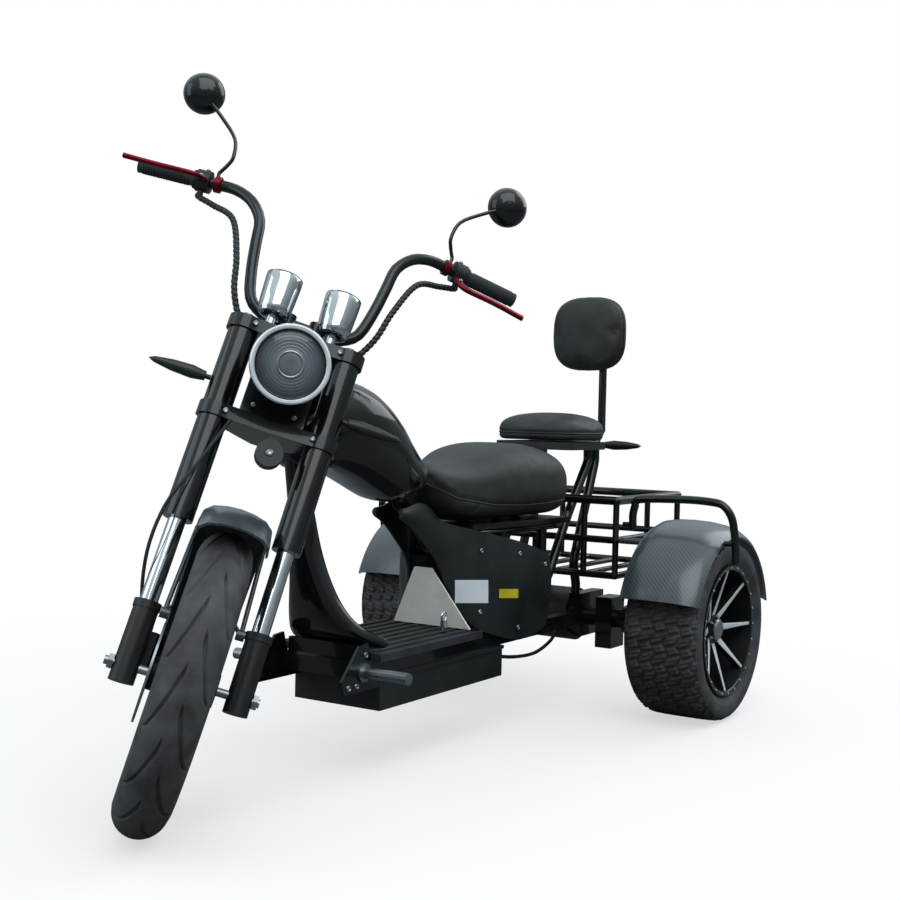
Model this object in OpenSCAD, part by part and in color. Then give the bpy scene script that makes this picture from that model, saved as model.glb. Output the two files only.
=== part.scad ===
// Electric tricycle with a raked steering fork, a step-through deck and two wide rear wheels.
// X points forward, Y to the vehicle's left, Z up, in millimetres.

/* [Layout] */
// Rear axle to front axle with the fork straight ahead
wheelbase = 1425; // [1415:1:1445]
// Between the centre planes of the rear wheels
rear_track = 800; // [790:1:820]
// Steering axis lean from upright
rake = 25; // [24.5:0.1:25.5]
// Fork angle at rest, to the left, at the steering stop
steer_rest = 45; // [40:1:45]
// Front axle ahead of the steering axis
fork_offset = 46; // [42:1:50]

/* [Front wheel] */
// Front tyre outer radius
front_tyre_r = 275; // [271:1:279]
// Front tyre width
front_tyre_w = 98; // [92:1:102]
// Front rim lip radius
front_rim_r = 193; // [188:1:198]
// Front rim width over the lips
front_rim_w = 72; // [66:1:74]
// Front brake disc diameter
disc_d = 180; // [170:1:190]
// Count of front rim spokes
front_spokes = 10; // [6:1:14]

/* [Rear wheels] */
// Rear tyre outer radius
rear_tyre_r = 226; // [222:1:229]
// Rear tyre width
rear_tyre_w = 198; // [190:1:200]
// Rear rim lip radius
rear_rim_r = 163; // [158:1:168]
// Count of rear rim spokes
rear_spokes = 8; // [6:1:12]

/* [Fork] */
// Fork leg distance from the centre plane
fork_half = 103; // [100:1:108]
// Fork leg diameter
leg_d = 46; // [42:1:50]
// Stanchion diameter
stanchion_d = 33; // [31:1:35]
// Fork cover diameter
cover_d = 56; // [52:1:58]
// Leg top above the axle, along the fork
leg_top = 118; // [112:1:124]
// Cover bottom above the axle, along the fork
cover_bottom = 277; // [268:1:285]
// Lower clamp middle above the axle, along the fork
lower_clamp_t = 493; // [488:1:500]
// Upper clamp middle above the axle, along the fork
upper_clamp_t = 677; // [672:1:684]
// Thickness of both clamps
clamp_h = 26; // [24:1:28]

/* [Headlamp and gauges] */
// Headlamp ring outer radius
lamp_r = 75; // [72:1:78]
// Headlamp ring distance ahead of the steering axis
lamp_ahead = 170; // [166:1:176]
// Headlamp height above the middle between the clamps
lamp_rise = 1; // [-5:1:7]
// Gauge cup diameter
gauge_d = 72; // [68:1:76]
// Gauge cup height
gauge_h = 86; // [80:1:92]

/* [Handlebar] */
// Handlebar tube diameter
bar_d = 23; // [22:1:25]
// Bar end distance from the centre plane
bar_half = 410; // [400:1:420]
// Grip diameter
grip_d = 33; // [31:1:35]
// Grip length
grip_len = 118; // [112:1:122]
// Mirror shell diameter
mirror_d = 85; // [80:1:90]

/* [Deck] */
// Footboard half width
deck_half = 135; // [130:1:140]
// Footboard top height
deck_z = 262; // [260:1:266]
// Battery box half width
box_half = 117; // [112:1:120]
// Battery box underside height
box_bottom = 139; // [135:1:145]
// Battery box top height
box_top = 211; // [209:1:212]
// Foot peg diameter
peg_d = 24; // [22:1:26]

/* [Seats] */
// Saddle half width at the widest place
saddle_half = 160; // [150:1:165]
// Saddle crown height
saddle_top = 680; // [674:1:686]
// Pillion seat half width
pillion_half = 125; // [118:1:130]
// Pillion seat length
pillion_len = 240; // [230:1:250]
// Pillion seat top height
pillion_top = 757; // [750:1:764]
// Backrest pad half width
pad_half = 113; // [106:1:120]
// Backrest pad height
pad_h = 210; // [200:1:220]
// Backrest pad thickness
pad_t = 65; // [60:1:68]

/* [Rack and fenders] */
// Rack half width to the tube centres
rack_half = 225; // [215:1:230]
// Rack top rail height
rack_top = 540; // [536:1:546]
// Rack rail diameter
rail_d = 22; // [20:1:24]
// Guard hoop outer leg clear of the fender
hoop_gap = 27; // [24:1:31]
// Rear fender crest radius
fender_r = 270; // [266:1:274]
// Rear fender width
fender_w = 206; // [204:1:210]
// Sheet thickness of the fenders
fender_t = 4; // [3:0.5:5]

/* [Hidden] */
$fn = 64;
fit = 0.3;
round_fn = 48;
tube_fn = 32;

head_u = [-sin(rake), 0, cos(rake)];
head_n = [cos(rake), 0, sin(rake)];
tyre_round = front_tyre_w / 2;
axle_lean = sin(rake) * sin(steer_rest);
axle_z = (front_tyre_r - tyre_round) * sqrt(1 - axle_lean * axle_lean) + tyre_round;
head_base = [wheelbase, 0, front_tyre_r] - fork_offset * head_n;
steered_n = cos(steer_rest) * head_n + sin(steer_rest) * [0, 1, 0];
slide_up = (axle_z - head_base[2] - fork_offset * steered_n[2]) / head_u[2];
head_o = head_base + slide_up * head_u;
lamp_tilt = atan(tan(rake) * cos(steer_rest));

axle_x = head_o[0] + fork_offset * steered_n[0];
side_x = sin(steer_rest) * cos(rake);
front_reach = axle_x + (front_tyre_r - tyre_round) * sqrt(1 - side_x * side_x) + tyre_round;
rear_reach = fender_r;
x_mid = (front_reach - rear_reach) / 2;
rear_half = rear_track / 2;
lamp_t = (lower_clamp_t + upper_clamp_t) / 2 + lamp_rise;
hoop_half = rear_half + fender_w / 2 + hoop_gap;

// Distance back from the front axle, as a place along X
deck_datum = 15;
function fx(back) = wheelbase + deck_datum - back;
// Place by distance ahead of the steering axis and along it
function head_pt(n, t) = head_o + n * head_n + t * head_u;

// Column picks and smooth rows for the lofted shapes
function blend_rows(a, b, c, d, u) = 0.5 * (2 * b + (c - a) * u
    + (2 * a - 5 * b + 4 * c - d) * u * u
    + (3 * b - a - 3 * c + d) * u * u * u);
function smooth_rows(tab, n) = concat(
    [for (i = [0 : len(tab) - 2], k = [0 : n - 1])
        blend_rows(tab[max(i - 1, 0)], tab[i], tab[i + 1], tab[min(i + 2, len(tab) - 1)], k / n)],
    [tab[len(tab) - 1]]);
function squared(c, e) = sign(c) * pow(abs(c), 2 / e);
function skin_faces(rows, cols) = concat(
    [for (i = [0 : rows - 2], j = [0 : cols - 1])
        [i * cols + j, (i + 1) * cols + (j + 1) % cols, i * cols + (j + 1) % cols]],
    [for (i = [0 : rows - 2], j = [0 : cols - 1])
        [i * cols + j, (i + 1) * cols + j, (i + 1) * cols + (j + 1) % cols]],
    [[for (j = [0 : cols - 1]) j]],
    [[for (j = [cols - 1 : -1 : 0]) (rows - 1) * cols + j]]);

// Solid skinned through rings of equal point count
module skin(rings) {
    cols = len(rings[0]);
    pts = [for (r = rings) each r];
    polyhedron(points = pts, faces = skin_faces(len(rings), cols), convexity = 6);
}

// Straight round bar between two places
module rod(p, q, d) {
    v = q - p;
    l = norm(v);
    translate(p)
        rotate([0, acos(v[2] / l), atan2(v[1], v[0])])
            cylinder(h = l, d = d, $fn = tube_fn);
}

// Bars along a row of places, with a bead at each bend
bead = 1.03;
module bars(pts, d) {
    for (i = [0 : len(pts) - 2])
        rod(pts[i], pts[i + 1], d);
    if (len(pts) > 2)
        for (i = [1 : len(pts) - 2])
            translate(pts[i])
                sphere(d = d * bead, $fn = tube_fn);
}

// Round sweep along smooth places, frames carried from ring to ring
function unit(v) = v / norm(v);
function tangent(p, i) = unit(p[min(i + 1, len(p) - 1)] - p[max(i - 1, 0)]);
function side_of(t, s) = unit(s - (s * t) * t);
function carried(p, i, s) = i == 0 ? [side_of(tangent(p, 0), s)]
    : let (prev = carried(p, i - 1, s)) concat(prev, [side_of(tangent(p, i), prev[i - 1])]);
module sweep(pts, d, sides, steps, start) {
    path = smooth_rows(pts, steps);
    s = carried(path, len(path) - 1, start);
    skin([for (i = [0 : len(path) - 1])
        let (t = tangent(path, i), u = s[i], w = cross(t, u))
            [for (j = [0 : sides - 1])
                let (f = 360 * j / sides)
                    path[i] + d / 2 * (cos(f) * u + sin(f) * w)]]);
}

module placed() {
    translate([-x_mid, 0, 0])
        children();
}
module headed() {
    placed()
        translate(head_o)
            rotate([0, -rake, 0])
                children();
}
// Steered frame: x ahead of the steering axis, y to the rider's left, z along the fork
module steered() {
    headed()
        rotate([0, 0, steer_rest])
            children();
}
module both_sides() {
    children();
    mirror([0, 1, 0])
        children();
}
// Turned about the Y axis: the child's z runs along +Y
module along_y() {
    rotate([-90, 0, 0])
        children();
}

black = "#15191c";
bright = "#c9ced2";
rubber = "#1c1e20";
pale = "#d8d4c6";
wine = "#6e1020";
grey = "#5a5f63";

// Steering head, backbone and down tube
head_tube_d = 52;
stem_d = 30;
backbone_d = 36;
down_d = 44;
head_low = lower_clamp_t + clamp_h / 2 + fit;
head_high = upper_clamp_t - clamp_h / 2 - fit;
head_mid = (head_low + head_high) / 2;
tube_spread = 30;
backbone_path = [head_pt(-12, head_mid - tube_spread), [fx(640), 0, 628], [fx(698), 0, 556], [fx(772), 0, 500],
    [fx(850), 0, 420], [fx(888), 0, 320], [fx(895), 0, 235]];
shield_top = 545;
down_path = [head_pt(-12, head_mid - 20), head_pt(-78, head_mid - 60), [fx(373), 0, shield_top - 20]];
module head_frame() {
    color(black) {
        difference() {
            union() {
                headed()
                    translate([0, 0, head_low])
                        cylinder(h = head_high - head_low, d = head_tube_d);
                placed()
                    bars(backbone_path, backbone_d);
                placed()
                    bars(down_path, down_d);
            }
            headed()
                translate([0, 0, head_low - clamp_h])
                    cylinder(h = head_high - head_low + 2 * clamp_h, d = stem_d + 2 * fit);
            placed()
                translate([0, -deck_half, 0])
                    cube([wheelbase, 2 * deck_half, rail_top + fit]);
            placed()
                translate([fx(500), -deck_half, 0])
                    cube([fx(0), 2 * deck_half, shield_top + fit]);
        }
    }
}

// Floor rails from the front cross tube to the axle brackets
rail_y = 90;
rail_w = 34;
rail_low = box_top + fit;
deck_t = 16;
rail_top = deck_z - deck_t - fit;
rail_front = fx(440);
cross_d = 30;
skirt_t = 10;
skirt_half = 92;
skirt_h = 32;
skirt_back = 462;
gusset_t = 6;
gusset_y = rail_y + rail_w / 2;
axle_d = 50;
axle_plate = [130, rail_w, 112];
axle_plate_low = 178;
axle_plate_back = -60;
mid_cross_x = [fx(600), 545, 330];
module floor_frame() {
    color(black)
        placed()
            difference() {
                union() {
                    both_sides()
                        translate([0, rail_y - rail_w / 2, rail_low])
                            cube([rail_front, rail_w, rail_top - rail_low]);
                    both_sides()
                        translate([axle_plate_back, rail_y - rail_w / 2, axle_plate_low])
                            cube(axle_plate);
                    for (x = mid_cross_x)
                        translate([x - cross_d / 2, -rail_y, rail_low])
                            cube([cross_d, 2 * rail_y, rail_top - rail_low]);
                    translate([rail_front - cross_d, -gusset_y, rail_low])
                        cube([cross_d, 2 * gusset_y, rail_top - rail_low]);
                    translate([fx(skirt_back), -skirt_half, rail_top - skirt_t])
                        cube([skirt_t, 2 * skirt_half, skirt_h + skirt_t]);
                }
                translate([0, -rear_half, rear_tyre_r])
                    along_y()
                        cylinder(h = 2 * rear_half, d = axle_d + 2 * fit);
            }
}

// Triangular plates ahead of the battery box, two bolt holes each
gusset_outline = [[498, 190], [498, 240], [468, 242], [455, 285], [428, 282], [372, 218], [380, 190]];
gusset_hole_x = [392, 418];
gusset_hole_z = 203;
gusset_hole_d = 9;
module gusset_plates() {
    color(black)
        placed()
            both_sides()
                translate([0, gusset_y + fit + gusset_t, 0])
                    rotate([90, 0, 0])
                        linear_extrude(gusset_t)
                            difference() {
                                polygon([for (p = gusset_outline) [fx(p[0]), p[1]]]);
                                for (x = gusset_hole_x)
                                    translate([fx(x), gusset_hole_z])
                                        circle(d = gusset_hole_d, $fn = tube_fn);
                            }
}

// Foot pegs out from the gusset plates
peg_x = 440;
peg_z = 228;
peg_start = gusset_y + gusset_t + 2 * fit;
peg_end = 226;
peg_flange_d = 38;
peg_flange_t = 5;
module foot_pegs() {
    color(grey)
        placed()
            both_sides()
                translate([fx(peg_x), peg_start, peg_z])
                    along_y() {
                        cylinder(h = peg_end - peg_start, d = peg_d);
                        cylinder(h = peg_flange_t, d = peg_flange_d);
                    }
}

// Shield that flares from the down tube to the deck
// columns: back from the front axle, height, half width, half thickness, lean of the section
shield_rows = [[372, shield_top, 25, 26, 0], [390, 470, 29, 28, 8], [406, 405, 44, 28, 16],
    [428, 345, 66, 27, 30], [458, 305, 92, 22, 48], [505, deck_z + 15.6, 126, 16, 74]];
shield_sides = 28;
shield_square = 3;
module front_shield() {
    color(black)
        placed()
            skin([for (r = smooth_rows(shield_rows, 4))
                [for (j = [0 : shield_sides - 1])
                    let (f = 360 * j / shield_sides,
                        w = r[2] * squared(cos(f), shield_square),
                        d = r[3] * squared(sin(f), shield_square))
                        [fx(r[0]) + d * cos(r[4]), w, r[1] - d * sin(r[4])]]]);
}

// Ribbed footboard on the rails
deck_front = fx(470);
deck_back = 588;
deck_rib_h = 4;
deck_ribs = 9;
deck_rib_w = 9;
deck_edge = 12;
module footboard() {
    color(rubber)
        placed() {
            translate([deck_back, -deck_half, deck_z - deck_t])
                cube([deck_front - deck_back, 2 * deck_half, deck_t - deck_rib_h]);
            for (i = [0 : deck_ribs - 1])
                translate([deck_back, -deck_half + (2 * deck_half - deck_rib_w) * i / (deck_ribs - 1),
                    deck_z - deck_t])
                    cube([deck_front - deck_back, deck_rib_w, deck_t]);
            translate([deck_front - deck_edge, -deck_half, deck_z - deck_t])
                cube([deck_edge, 2 * deck_half, deck_t]);
        }
}

// Battery box under the rails
box_back = 464;
box_front = fx(499);
box_lid_t = 8;
box_step = 5;
module battery_box() {
    color(black)
        placed() {
            translate([box_back, -box_half + box_step, box_bottom])
                cube([box_front - box_back, 2 * (box_half - box_step), box_top - box_bottom - box_lid_t]);
            translate([box_back, -box_half, box_top - box_lid_t])
                cube([box_front - box_back, 2 * box_half, box_lid_t]);
        }
}

// Lock post with its loop on the deck
lock_x = 652;
lock_y = 72;
lock_d = 16;
lock_h = 26;
lock_ring_r = 9;
lock_ring_d = 5;
module battery_lock() {
    color(bright)
        placed()
            translate([lock_x, lock_y, deck_z + fit]) {
                cylinder(h = lock_h, d = lock_d);
                translate([0, 0, lock_h + lock_ring_r - lock_ring_d / 4])
                    rotate([90, 0, 0])
                        rotate_extrude()
                            translate([lock_ring_r, 0])
                                circle(d = lock_ring_d, $fn = tube_fn);
            }
}

// Tank-shaped cover over the backbone
// columns: back to the top, top height, back to the underside, underside height, half width
tank_rows = [[352, 768, 316, 676, 44], [384, 796, 352, 632, 74], [446, 815, 424, 630, 98],
    [520, 802, 505, 608, 106], [588, 760, 575, 580, 104], [640, 710, 632, 558, 96], [684, 672, 680, 556, 85], [714, 652, 712, 574, 72]];
tank_sides = 32;
tank_square = 2.5;
module tank_cover() {
    color(black)
        placed()
            difference() {
                skin([for (r = smooth_rows(tank_rows, 4))
                    [for (j = [0 : tank_sides - 1])
                        let (f = -360 * j / tank_sides,
                            w = r[4] * squared(cos(f), tank_square),
                            h = (1 + squared(sin(f), tank_square)) / 2)
                            [fx(r[2] + (r[0] - r[2]) * h), w, r[3] + (r[1] - r[3]) * h]]]);
                bars(backbone_path, backbone_d + 2 * fit);
                bars(down_path, down_d + 2 * fit);
            }
}

// Seat rails, uprights and cross tubes
seat_rail_d = 22;
seat_rail_y = 80;
pan_low = 484;
pan_t = 14;
pan_sink = 2;
seat_rail_z = pan_low + pan_sink - seat_rail_d / 2;
seat_rail_x = [566, 150];
upright_d = 26;
upright_x = [430, 235];
panel_stud_d = 18;
panel_stud_z = 424;
// columns: along X, outside distance of the panel there
panel_studs = [[545, 116.5], [422, 131]];
stud_ease = 0.9;
pan_x = [175, 560];
pan_half = [128, 86];
module seat_frame() {
    color(black)
        placed() {
            both_sides()
                rod([seat_rail_x[1], seat_rail_y, seat_rail_z], [seat_rail_x[0], seat_rail_y, seat_rail_z], seat_rail_d);
            both_sides()
                for (x = upright_x)
                    rod([x, seat_rail_y, rail_top + fit], [x, seat_rail_y, seat_rail_z], upright_d);
            for (s = panel_studs)
                rod([s[0], -s[1] + panel_t + fit + stud_ease, panel_stud_z],
                    [s[0], s[1] - panel_t - fit - stud_ease, panel_stud_z], panel_stud_d);
            both_sides()
                rod([panel_studs[0][0], seat_rail_y, panel_stud_z], [panel_studs[0][0], seat_rail_y, seat_rail_z],
                    panel_stud_d * 0.9);
            translate([0, 0, pan_low])
                linear_extrude(pan_t)
                    polygon([[pan_x[0], -pan_half[0]], [pan_x[1], -pan_half[1]],
                        [pan_x[1], pan_half[1]], [pan_x[0], pan_half[0]]]);
        }
}

// Electronics case between the uprights
case_x = [265, 400];
case_half = 60;
case_h = 130;
module electronics_case() {
    color(grey)
        placed()
            translate([case_x[0], -case_half, rail_top + fit])
                cube([case_x[1] - case_x[0], 2 * case_half, case_h]);
}

// Side panels, skinned from front tip to rear edge
// columns: along X, bottom height, top height, outside distance
panel_rows = [[775, 520, 540, 36], [748, 506, 543, 36], [720, 486, 550, 38], [690, 460, 548, 40], [660, 434, 530, 42],
    [640, 408, 512, 45], [622, 372, 503, 52], [604, 322, 496, 68], [586, 280, 490, 91], [563, 258, 483, 110],
    [545, 251, 479, 116.5], [422, 219, 452, 131], [310, 232, 421, 131], [280, 262, 408, 130]];
panel_t = 5;
panel_levels = 5;
panel_bulge = 7;
function panel_ring(r) = concat(
    [for (k = [0 : panel_levels])
        let (v = k / panel_levels)
            [r[0], r[3] - panel_bulge * pow(2 * v - 1, 2) + panel_bulge, r[1] + (r[2] - r[1]) * v]],
    [for (k = [panel_levels : -1 : 0])
        let (v = k / panel_levels)
            [r[0], r[3] - panel_t, r[1] + (r[2] - r[1]) * v]]);
// Faces of a skin whose end rings are closed by strips
function strip_faces(cols, base, flip) = [for (j = [0 : cols / 2 - 2])
    each let (a = base + j, b = base + j + 1, c = base + cols - 2 - j, d = base + cols - 1 - j)
        (flip ? [[a, c, b], [a, d, c]] : [[a, b, c], [a, c, d]])];
function strip_skin_faces(rows, cols) = concat(
    [for (f = skin_faces(rows, cols)) if (len(f) == 3) f],
    strip_faces(cols, 0, false),
    strip_faces(cols, (rows - 1) * cols, true));
module side_panels() {
    rings = [for (r = smooth_rows(panel_rows, 3)) panel_ring(r)];
    color(black)
        placed()
            both_sides()
                polyhedron(points = [for (r = rings) each r],
                    faces = strip_skin_faces(len(rings), len(rings[0])), convexity = 6);
}

// Pale inclined plate between the side panels
plate_low = [598, deck_z + fit];
plate_high = [636, 398];
plate_low_half = 106;
plate_high_half = 24;
plate_t = 4;
module front_panel() {
    run = plate_high - plate_low;
    color(pale)
        placed()
            translate([plate_low[0], 0, plate_low[1]])
                rotate([0, -atan2(run[1], run[0]), 0])
                    linear_extrude(plate_t)
                        polygon([[0, -plate_low_half], [norm(run), -plate_high_half],
                            [norm(run), plate_high_half], [0, plate_low_half]]);
}

// Saddle on its pan
// columns: along X, half width share, underside height, top drop from the crown
saddle_rows = [[716, 0.22, 594, 62], [706, 0.38, 580, 46], [680, 0.47, 560, 42], [630, 0.58, 522, 44],
    [560, 0.72, 499, 38], [470, 0.92, 499, 14], [380, 1.00, 499, 0], [290, 0.99, 499, 4], [220, 0.90, 499, 22],
    [178, 0.72, 502, 54], [160, 0.42, 514, 96]];
saddle_sides = 36;
saddle_square = 3;
module main_seat() {
    color(rubber)
        placed()
            skin([for (r = smooth_rows(saddle_rows, 3))
                [for (j = [0 : saddle_sides - 1])
                    let (f = 360 * j / saddle_sides,
                        h = max(0, (1 + squared(sin(f), saddle_square)) / 2))
                        [r[0], saddle_half * r[1] * squared(cos(f), saddle_square),
                            max(r[2], pan_low + pan_t + fit)
                            + (saddle_top - r[3] - max(r[2], pan_low + pan_t + fit)) * h]]]);
}

// Pillion seat base and pillion seat
pillion_x = 55;
base_low = 664;
base_t = 20;
base_round = 30;
base_inset = 10;
module rounded_plate(l, w, h, r) {
    linear_extrude(h)
        union() {
            square([l - 2 * r, w], center = true);
            square([l, w - 2 * r], center = true);
            for (x = [-1, 1], y = [-1, 1])
                translate([x * (l / 2 - r), y * (w / 2 - r)])
                    circle(r = r);
        }
}
module pillion_base() {
    color(black)
        placed()
            translate([pillion_x, 0, base_low])
                rounded_plate(pillion_len - 2 * base_inset, 2 * (pillion_half - base_inset), base_t, base_round);
}
// columns: share of the half size, height share
pillion_rows = [[0.90, 0.0], [0.97, 0.10], [1.0, 0.30], [0.98, 0.54], [0.92, 0.74], [0.79, 0.89], [0.58, 0.97], [0.3, 1.0]];
pillion_sides = 40;
pillion_square = 4;
module pillion_seat() {
    low = base_low + base_t + fit;
    color(rubber)
        placed()
            skin([for (r = smooth_rows(pillion_rows, 2))
                [for (j = [0 : pillion_sides - 1])
                    let (f = -360 * j / pillion_sides)
                        [pillion_x + pillion_len / 2 * r[0] * squared(cos(f), pillion_square),
                            pillion_half * r[0] * squared(sin(f), pillion_square),
                            low + (pillion_top - low) * r[1]]]]);
}

// Tubes that carry the pillion seat
strut_d = 24;
strut_y = 80;
// columns: along X, height
strut_post = [[48, 300], [48, 314], [58, 350], [60, 377], [30, 455], [-28, 595], [-42, 634], [-42, 650]];
strut_slant = [[214, 340], [205, 340], [186, 362], [170, 390], [100, 498], [10, 616], [-2, 638], [-2, 652]];
strut_sides = 12;
module seat_struts() {
    low = axle_plate_low + axle_plate[2] + fit;
    high = base_low - fit;
    back = strut_post[len(strut_post) - 1][0];
    front = strut_slant[len(strut_slant) - 1][0];
    foot = upright_x[1] - upright_d / 2 - fit;
    color(black)
        placed()
            both_sides() {
                sweep(concat([[strut_post[0][0], strut_y, low]], [for (p = strut_post) [p[0], strut_y, p[1]]],
                    [[back, strut_y, high]]), strut_d, strut_sides, 3, [0, 1, 0]);
                sweep(concat([[foot, strut_y, strut_slant[0][1]]],
                    [for (p = strut_slant) [p[0], strut_y, p[1]]], [[front, strut_y, high]]),
                    strut_d, strut_sides, 3, [0, 1, 0]);
            }
}

// Backrest post with the bracket behind the pillion base
post_d = 22;
post_x = -232;
post_z = base_low + base_t / 2;
post_bend = 40;
pad_x = -140;
pad_z = 979;
post_stub_d = 18;
post_start = pillion_x - pillion_len / 2 + base_inset - fit;
module backrest_post() {
    color(black)
        placed() {
            bars([[post_start, 0, post_z], [post_x + post_bend, 0, post_z], [post_x, 0, post_z + post_bend],
                [post_x, 0, pad_z + post_bend]], post_d);
            for (z = [pad_z - post_bend, pad_z + post_bend / 2])
                rod([post_x, 0, z], [pad_x - pad_t / 2 - fit, 0, z], post_stub_d);
        }
}
// columns: share of the thickness from the back, share of the half size
pad_rows = [[0.0, 0.80], [0.10, 0.93], [0.30, 1.0], [0.55, 0.99], [0.78, 0.93], [0.93, 0.82], [1.0, 0.62]];
pad_sides = 40;
pad_square = 3;
module backrest_pad() {
    color(rubber)
        placed()
            skin([for (r = smooth_rows(pad_rows, 2))
                [for (j = [0 : pad_sides - 1])
                    let (f = -360 * j / pad_sides)
                        [pad_x + pad_t * (r[0] - 0.5), pad_half * r[1] * squared(cos(f), pad_square),
                            pad_z + pad_h / 2 * r[1] * squared(sin(f), pad_square)]]]);
}

// Leaf-shaped indicators: stalk and spindle body along +Y from the origin
leaf_len = 112;
leaf_r = 13;
stalk_d = 10;
// columns: share of the radius, share of the length
leaf_rows = [[0, 0], [0.7, 0.02], [1, 0.25], [0.85, 0.6], [0.45, 0.9], [0, 1]];
module leaf(stalk) {
    along_y() {
        cylinder(h = stalk + leaf_len * 0.1, d = stalk_d, $fn = tube_fn);
        translate([0, 0, stalk])
            rotate_extrude($fn = tube_fn)
                polygon([for (r = leaf_rows) [leaf_r * r[0], leaf_len * r[1]]]);
    }
}
rear_leaf_x = -150;
rear_leaf_start = post_d / 2 + fit;
rear_stalk = 42;
module rear_indicators() {
    color(black)
        placed()
            both_sides()
                translate([rear_leaf_x, rear_leaf_start, post_z])
                    leaf(rear_stalk);
}

// Rear axle tube with brake blocks, and the drive motor housing
block_y = 135;
block_w = 46;
block_size = [74, 132];
block_low = 150;
axle_end = rear_half - rear_tyre_w / 2 - 8;
stub_d = 30;
stub_end = rear_half + 20;
module rear_axle() {
    color(black)
        placed()
            both_sides() {
                translate([0, 0, rear_tyre_r])
                    along_y() {
                        translate([0, 0, motor_half + fit])
                            cylinder(h = axle_end - motor_half - fit, d = axle_d);
                        cylinder(h = stub_end, d = stub_d);
                    }
                translate([-block_size[0] / 2, block_y, block_low])
                    cube([block_size[0], block_w, block_size[1]]);
            }
}
motor_d = 138;
motor_half = 62;
module drive_motor() {
    color(grey)
        placed()
            translate([0, -motor_half, rear_tyre_r])
                along_y()
                    difference() {
                        cylinder(h = 2 * motor_half, d = motor_d);
                        translate([0, 0, -motor_half])
                            cylinder(h = 4 * motor_half, d = stub_d + 2 * fit);
                    }
}

// Rear rack: a basket of tubes between the fenders
rack_x = [-262, 112];
rack_mid = 440;
rack_floor = 350;
slat_d = 14;
stay_d = 16;
rack_slats = 4;
rack_post_y = 135;
foot_d = 20;
foot_ring_d = 72;
foot_w = 40;
module rack_loop(z, d, half) {
    bars([[rack_x[0], -half, z], [rack_x[1], -half, z], [rack_x[1], half, z], [rack_x[0], half, z],
        [rack_x[0], -half, z], [rack_x[1], -half, z]], d);
}
module rear_rack() {
    color(black)
        placed() {
            rack_loop(rack_top, rail_d, rack_half);
            rack_loop(rack_mid, rail_d * 0.8, rack_half);
            rack_loop(rack_floor, rail_d * 0.8, rack_half);
            for (x = rack_x, y = [-rack_half, -rack_post_y, rack_post_y, rack_half])
                rod([x, y, rack_floor], [x, y, rack_top], stay_d);
            for (i = [1 : rack_slats])
                rod([rack_x[0], -rack_half + 2 * rack_half * i / (rack_slats + 1), rack_floor],
                    [rack_x[1], -rack_half + 2 * rack_half * i / (rack_slats + 1), rack_floor], slat_d);
            difference() {
                both_sides() {
                    translate([0, rack_half - foot_w / 2, rear_tyre_r])
                        along_y()
                            cylinder(h = foot_w, d = foot_ring_d);
                    rod([0, rack_half, rear_tyre_r], [0, rack_half, rack_floor], foot_d);
                }
                translate([0, -rear_half, rear_tyre_r])
                    along_y()
                        cylinder(h = 2 * rear_half, d = axle_d + 2 * fit);
            }
        }
}

// Rear fenders: domed band about the wheel axle with two stays to the rack
// columns: across the width, drop from the crest
fender_rows = [[-0.5, 40], [-0.495, 26], [-0.47, 14], [-0.40, 5], [-0.25, 0.5], [-0.1, 0], [0.1, 2], [0.28, 8],
    [0.40, 17], [0.47, 27], [0.5, 36]];
fender_from = 20;
fender_to = 167;
fender_stay_x = [-105, 100];
fender_stay_z = rack_mid;
module rear_fender() {
    n = len(fender_rows);
    outer = [for (r = fender_rows) [fender_r - r[1], r[0] * fender_w]];
    inner = [for (i = [n - 1 : -1 : 0])
        [fender_r - fender_t - fender_rows[i][1] * 0.99, fender_rows[i][0] * (fender_w - 2 * fender_t)]];
    placed() {
        translate([0, rear_half, rear_tyre_r])
            along_y()
                rotate([0, 0, -fender_to])
                    rotate_extrude(angle = fender_to - fender_from, $fn = round_fn)
                        polygon(concat(outer, inner));
        for (x = fender_stay_x)
            rod([x, rack_half + rail_d * 0.4 + fit, fender_stay_z],
                [x, rear_half - fender_w / 2 + fender_t * 0.8, fender_stay_z], stay_d);
    }
}
module rear_fender_left() {
    color(black)
        rear_fender();
}
module rear_fender_right() {
    color(black)
        mirror([0, 1, 0])
            rear_fender();
}

// Guard hoops over the fenders
hoop_d = 20;
hoop_x = 92;
hoop_in = 262;
hoop_top = 552;
hoop_foot = 400;
hoop_tab_d = 13;
hoop_tab_z = 450;
hoop_low = 468;
hoop_lean = 14;
// columns: lean back, in from the outer leg or out from the inner one, below the top
hoop_inner = [[0, 0, 60], [0, 0, 46], [0, 5, 24], [0, 18, 6]];
hoop_outer = [[0, 60, 2], [0, 26, 10], [4, 6, 38], [11, 0, 80], [20, 0, 118]];
hoop_sides = 12;
hoop_steps = 4;
module guard_hoop() {
    placed() {
        sweep(concat([[hoop_x, hoop_in, hoop_low]],
            [for (r = hoop_inner) [hoop_x - r[0], hoop_in + r[1], hoop_top - r[2]]],
            [[hoop_x, (hoop_in + hoop_half) / 2, hoop_top]],
            [for (r = hoop_outer) [hoop_x - r[0], hoop_half - r[1], hoop_top - r[2]]],
            [[hoop_x - 1.6 * hoop_lean, hoop_half, hoop_foot]]),
            hoop_d, hoop_sides, hoop_steps, [1, 0, 0]);
        rod([hoop_x - hoop_lean, rear_half + fender_w / 2 + fit, hoop_tab_z],
            [hoop_x - hoop_lean, hoop_half, hoop_tab_z], hoop_tab_d);
        rod([hoop_x, rack_half + rail_d / 2 + fit, hoop_low + hoop_tab_d], [hoop_x, hoop_in, hoop_low + hoop_tab_d],
            hoop_tab_d);
    }
}
module guard_hoops() {
    color(black)
        both_sides()
            guard_hoop();
}

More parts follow.
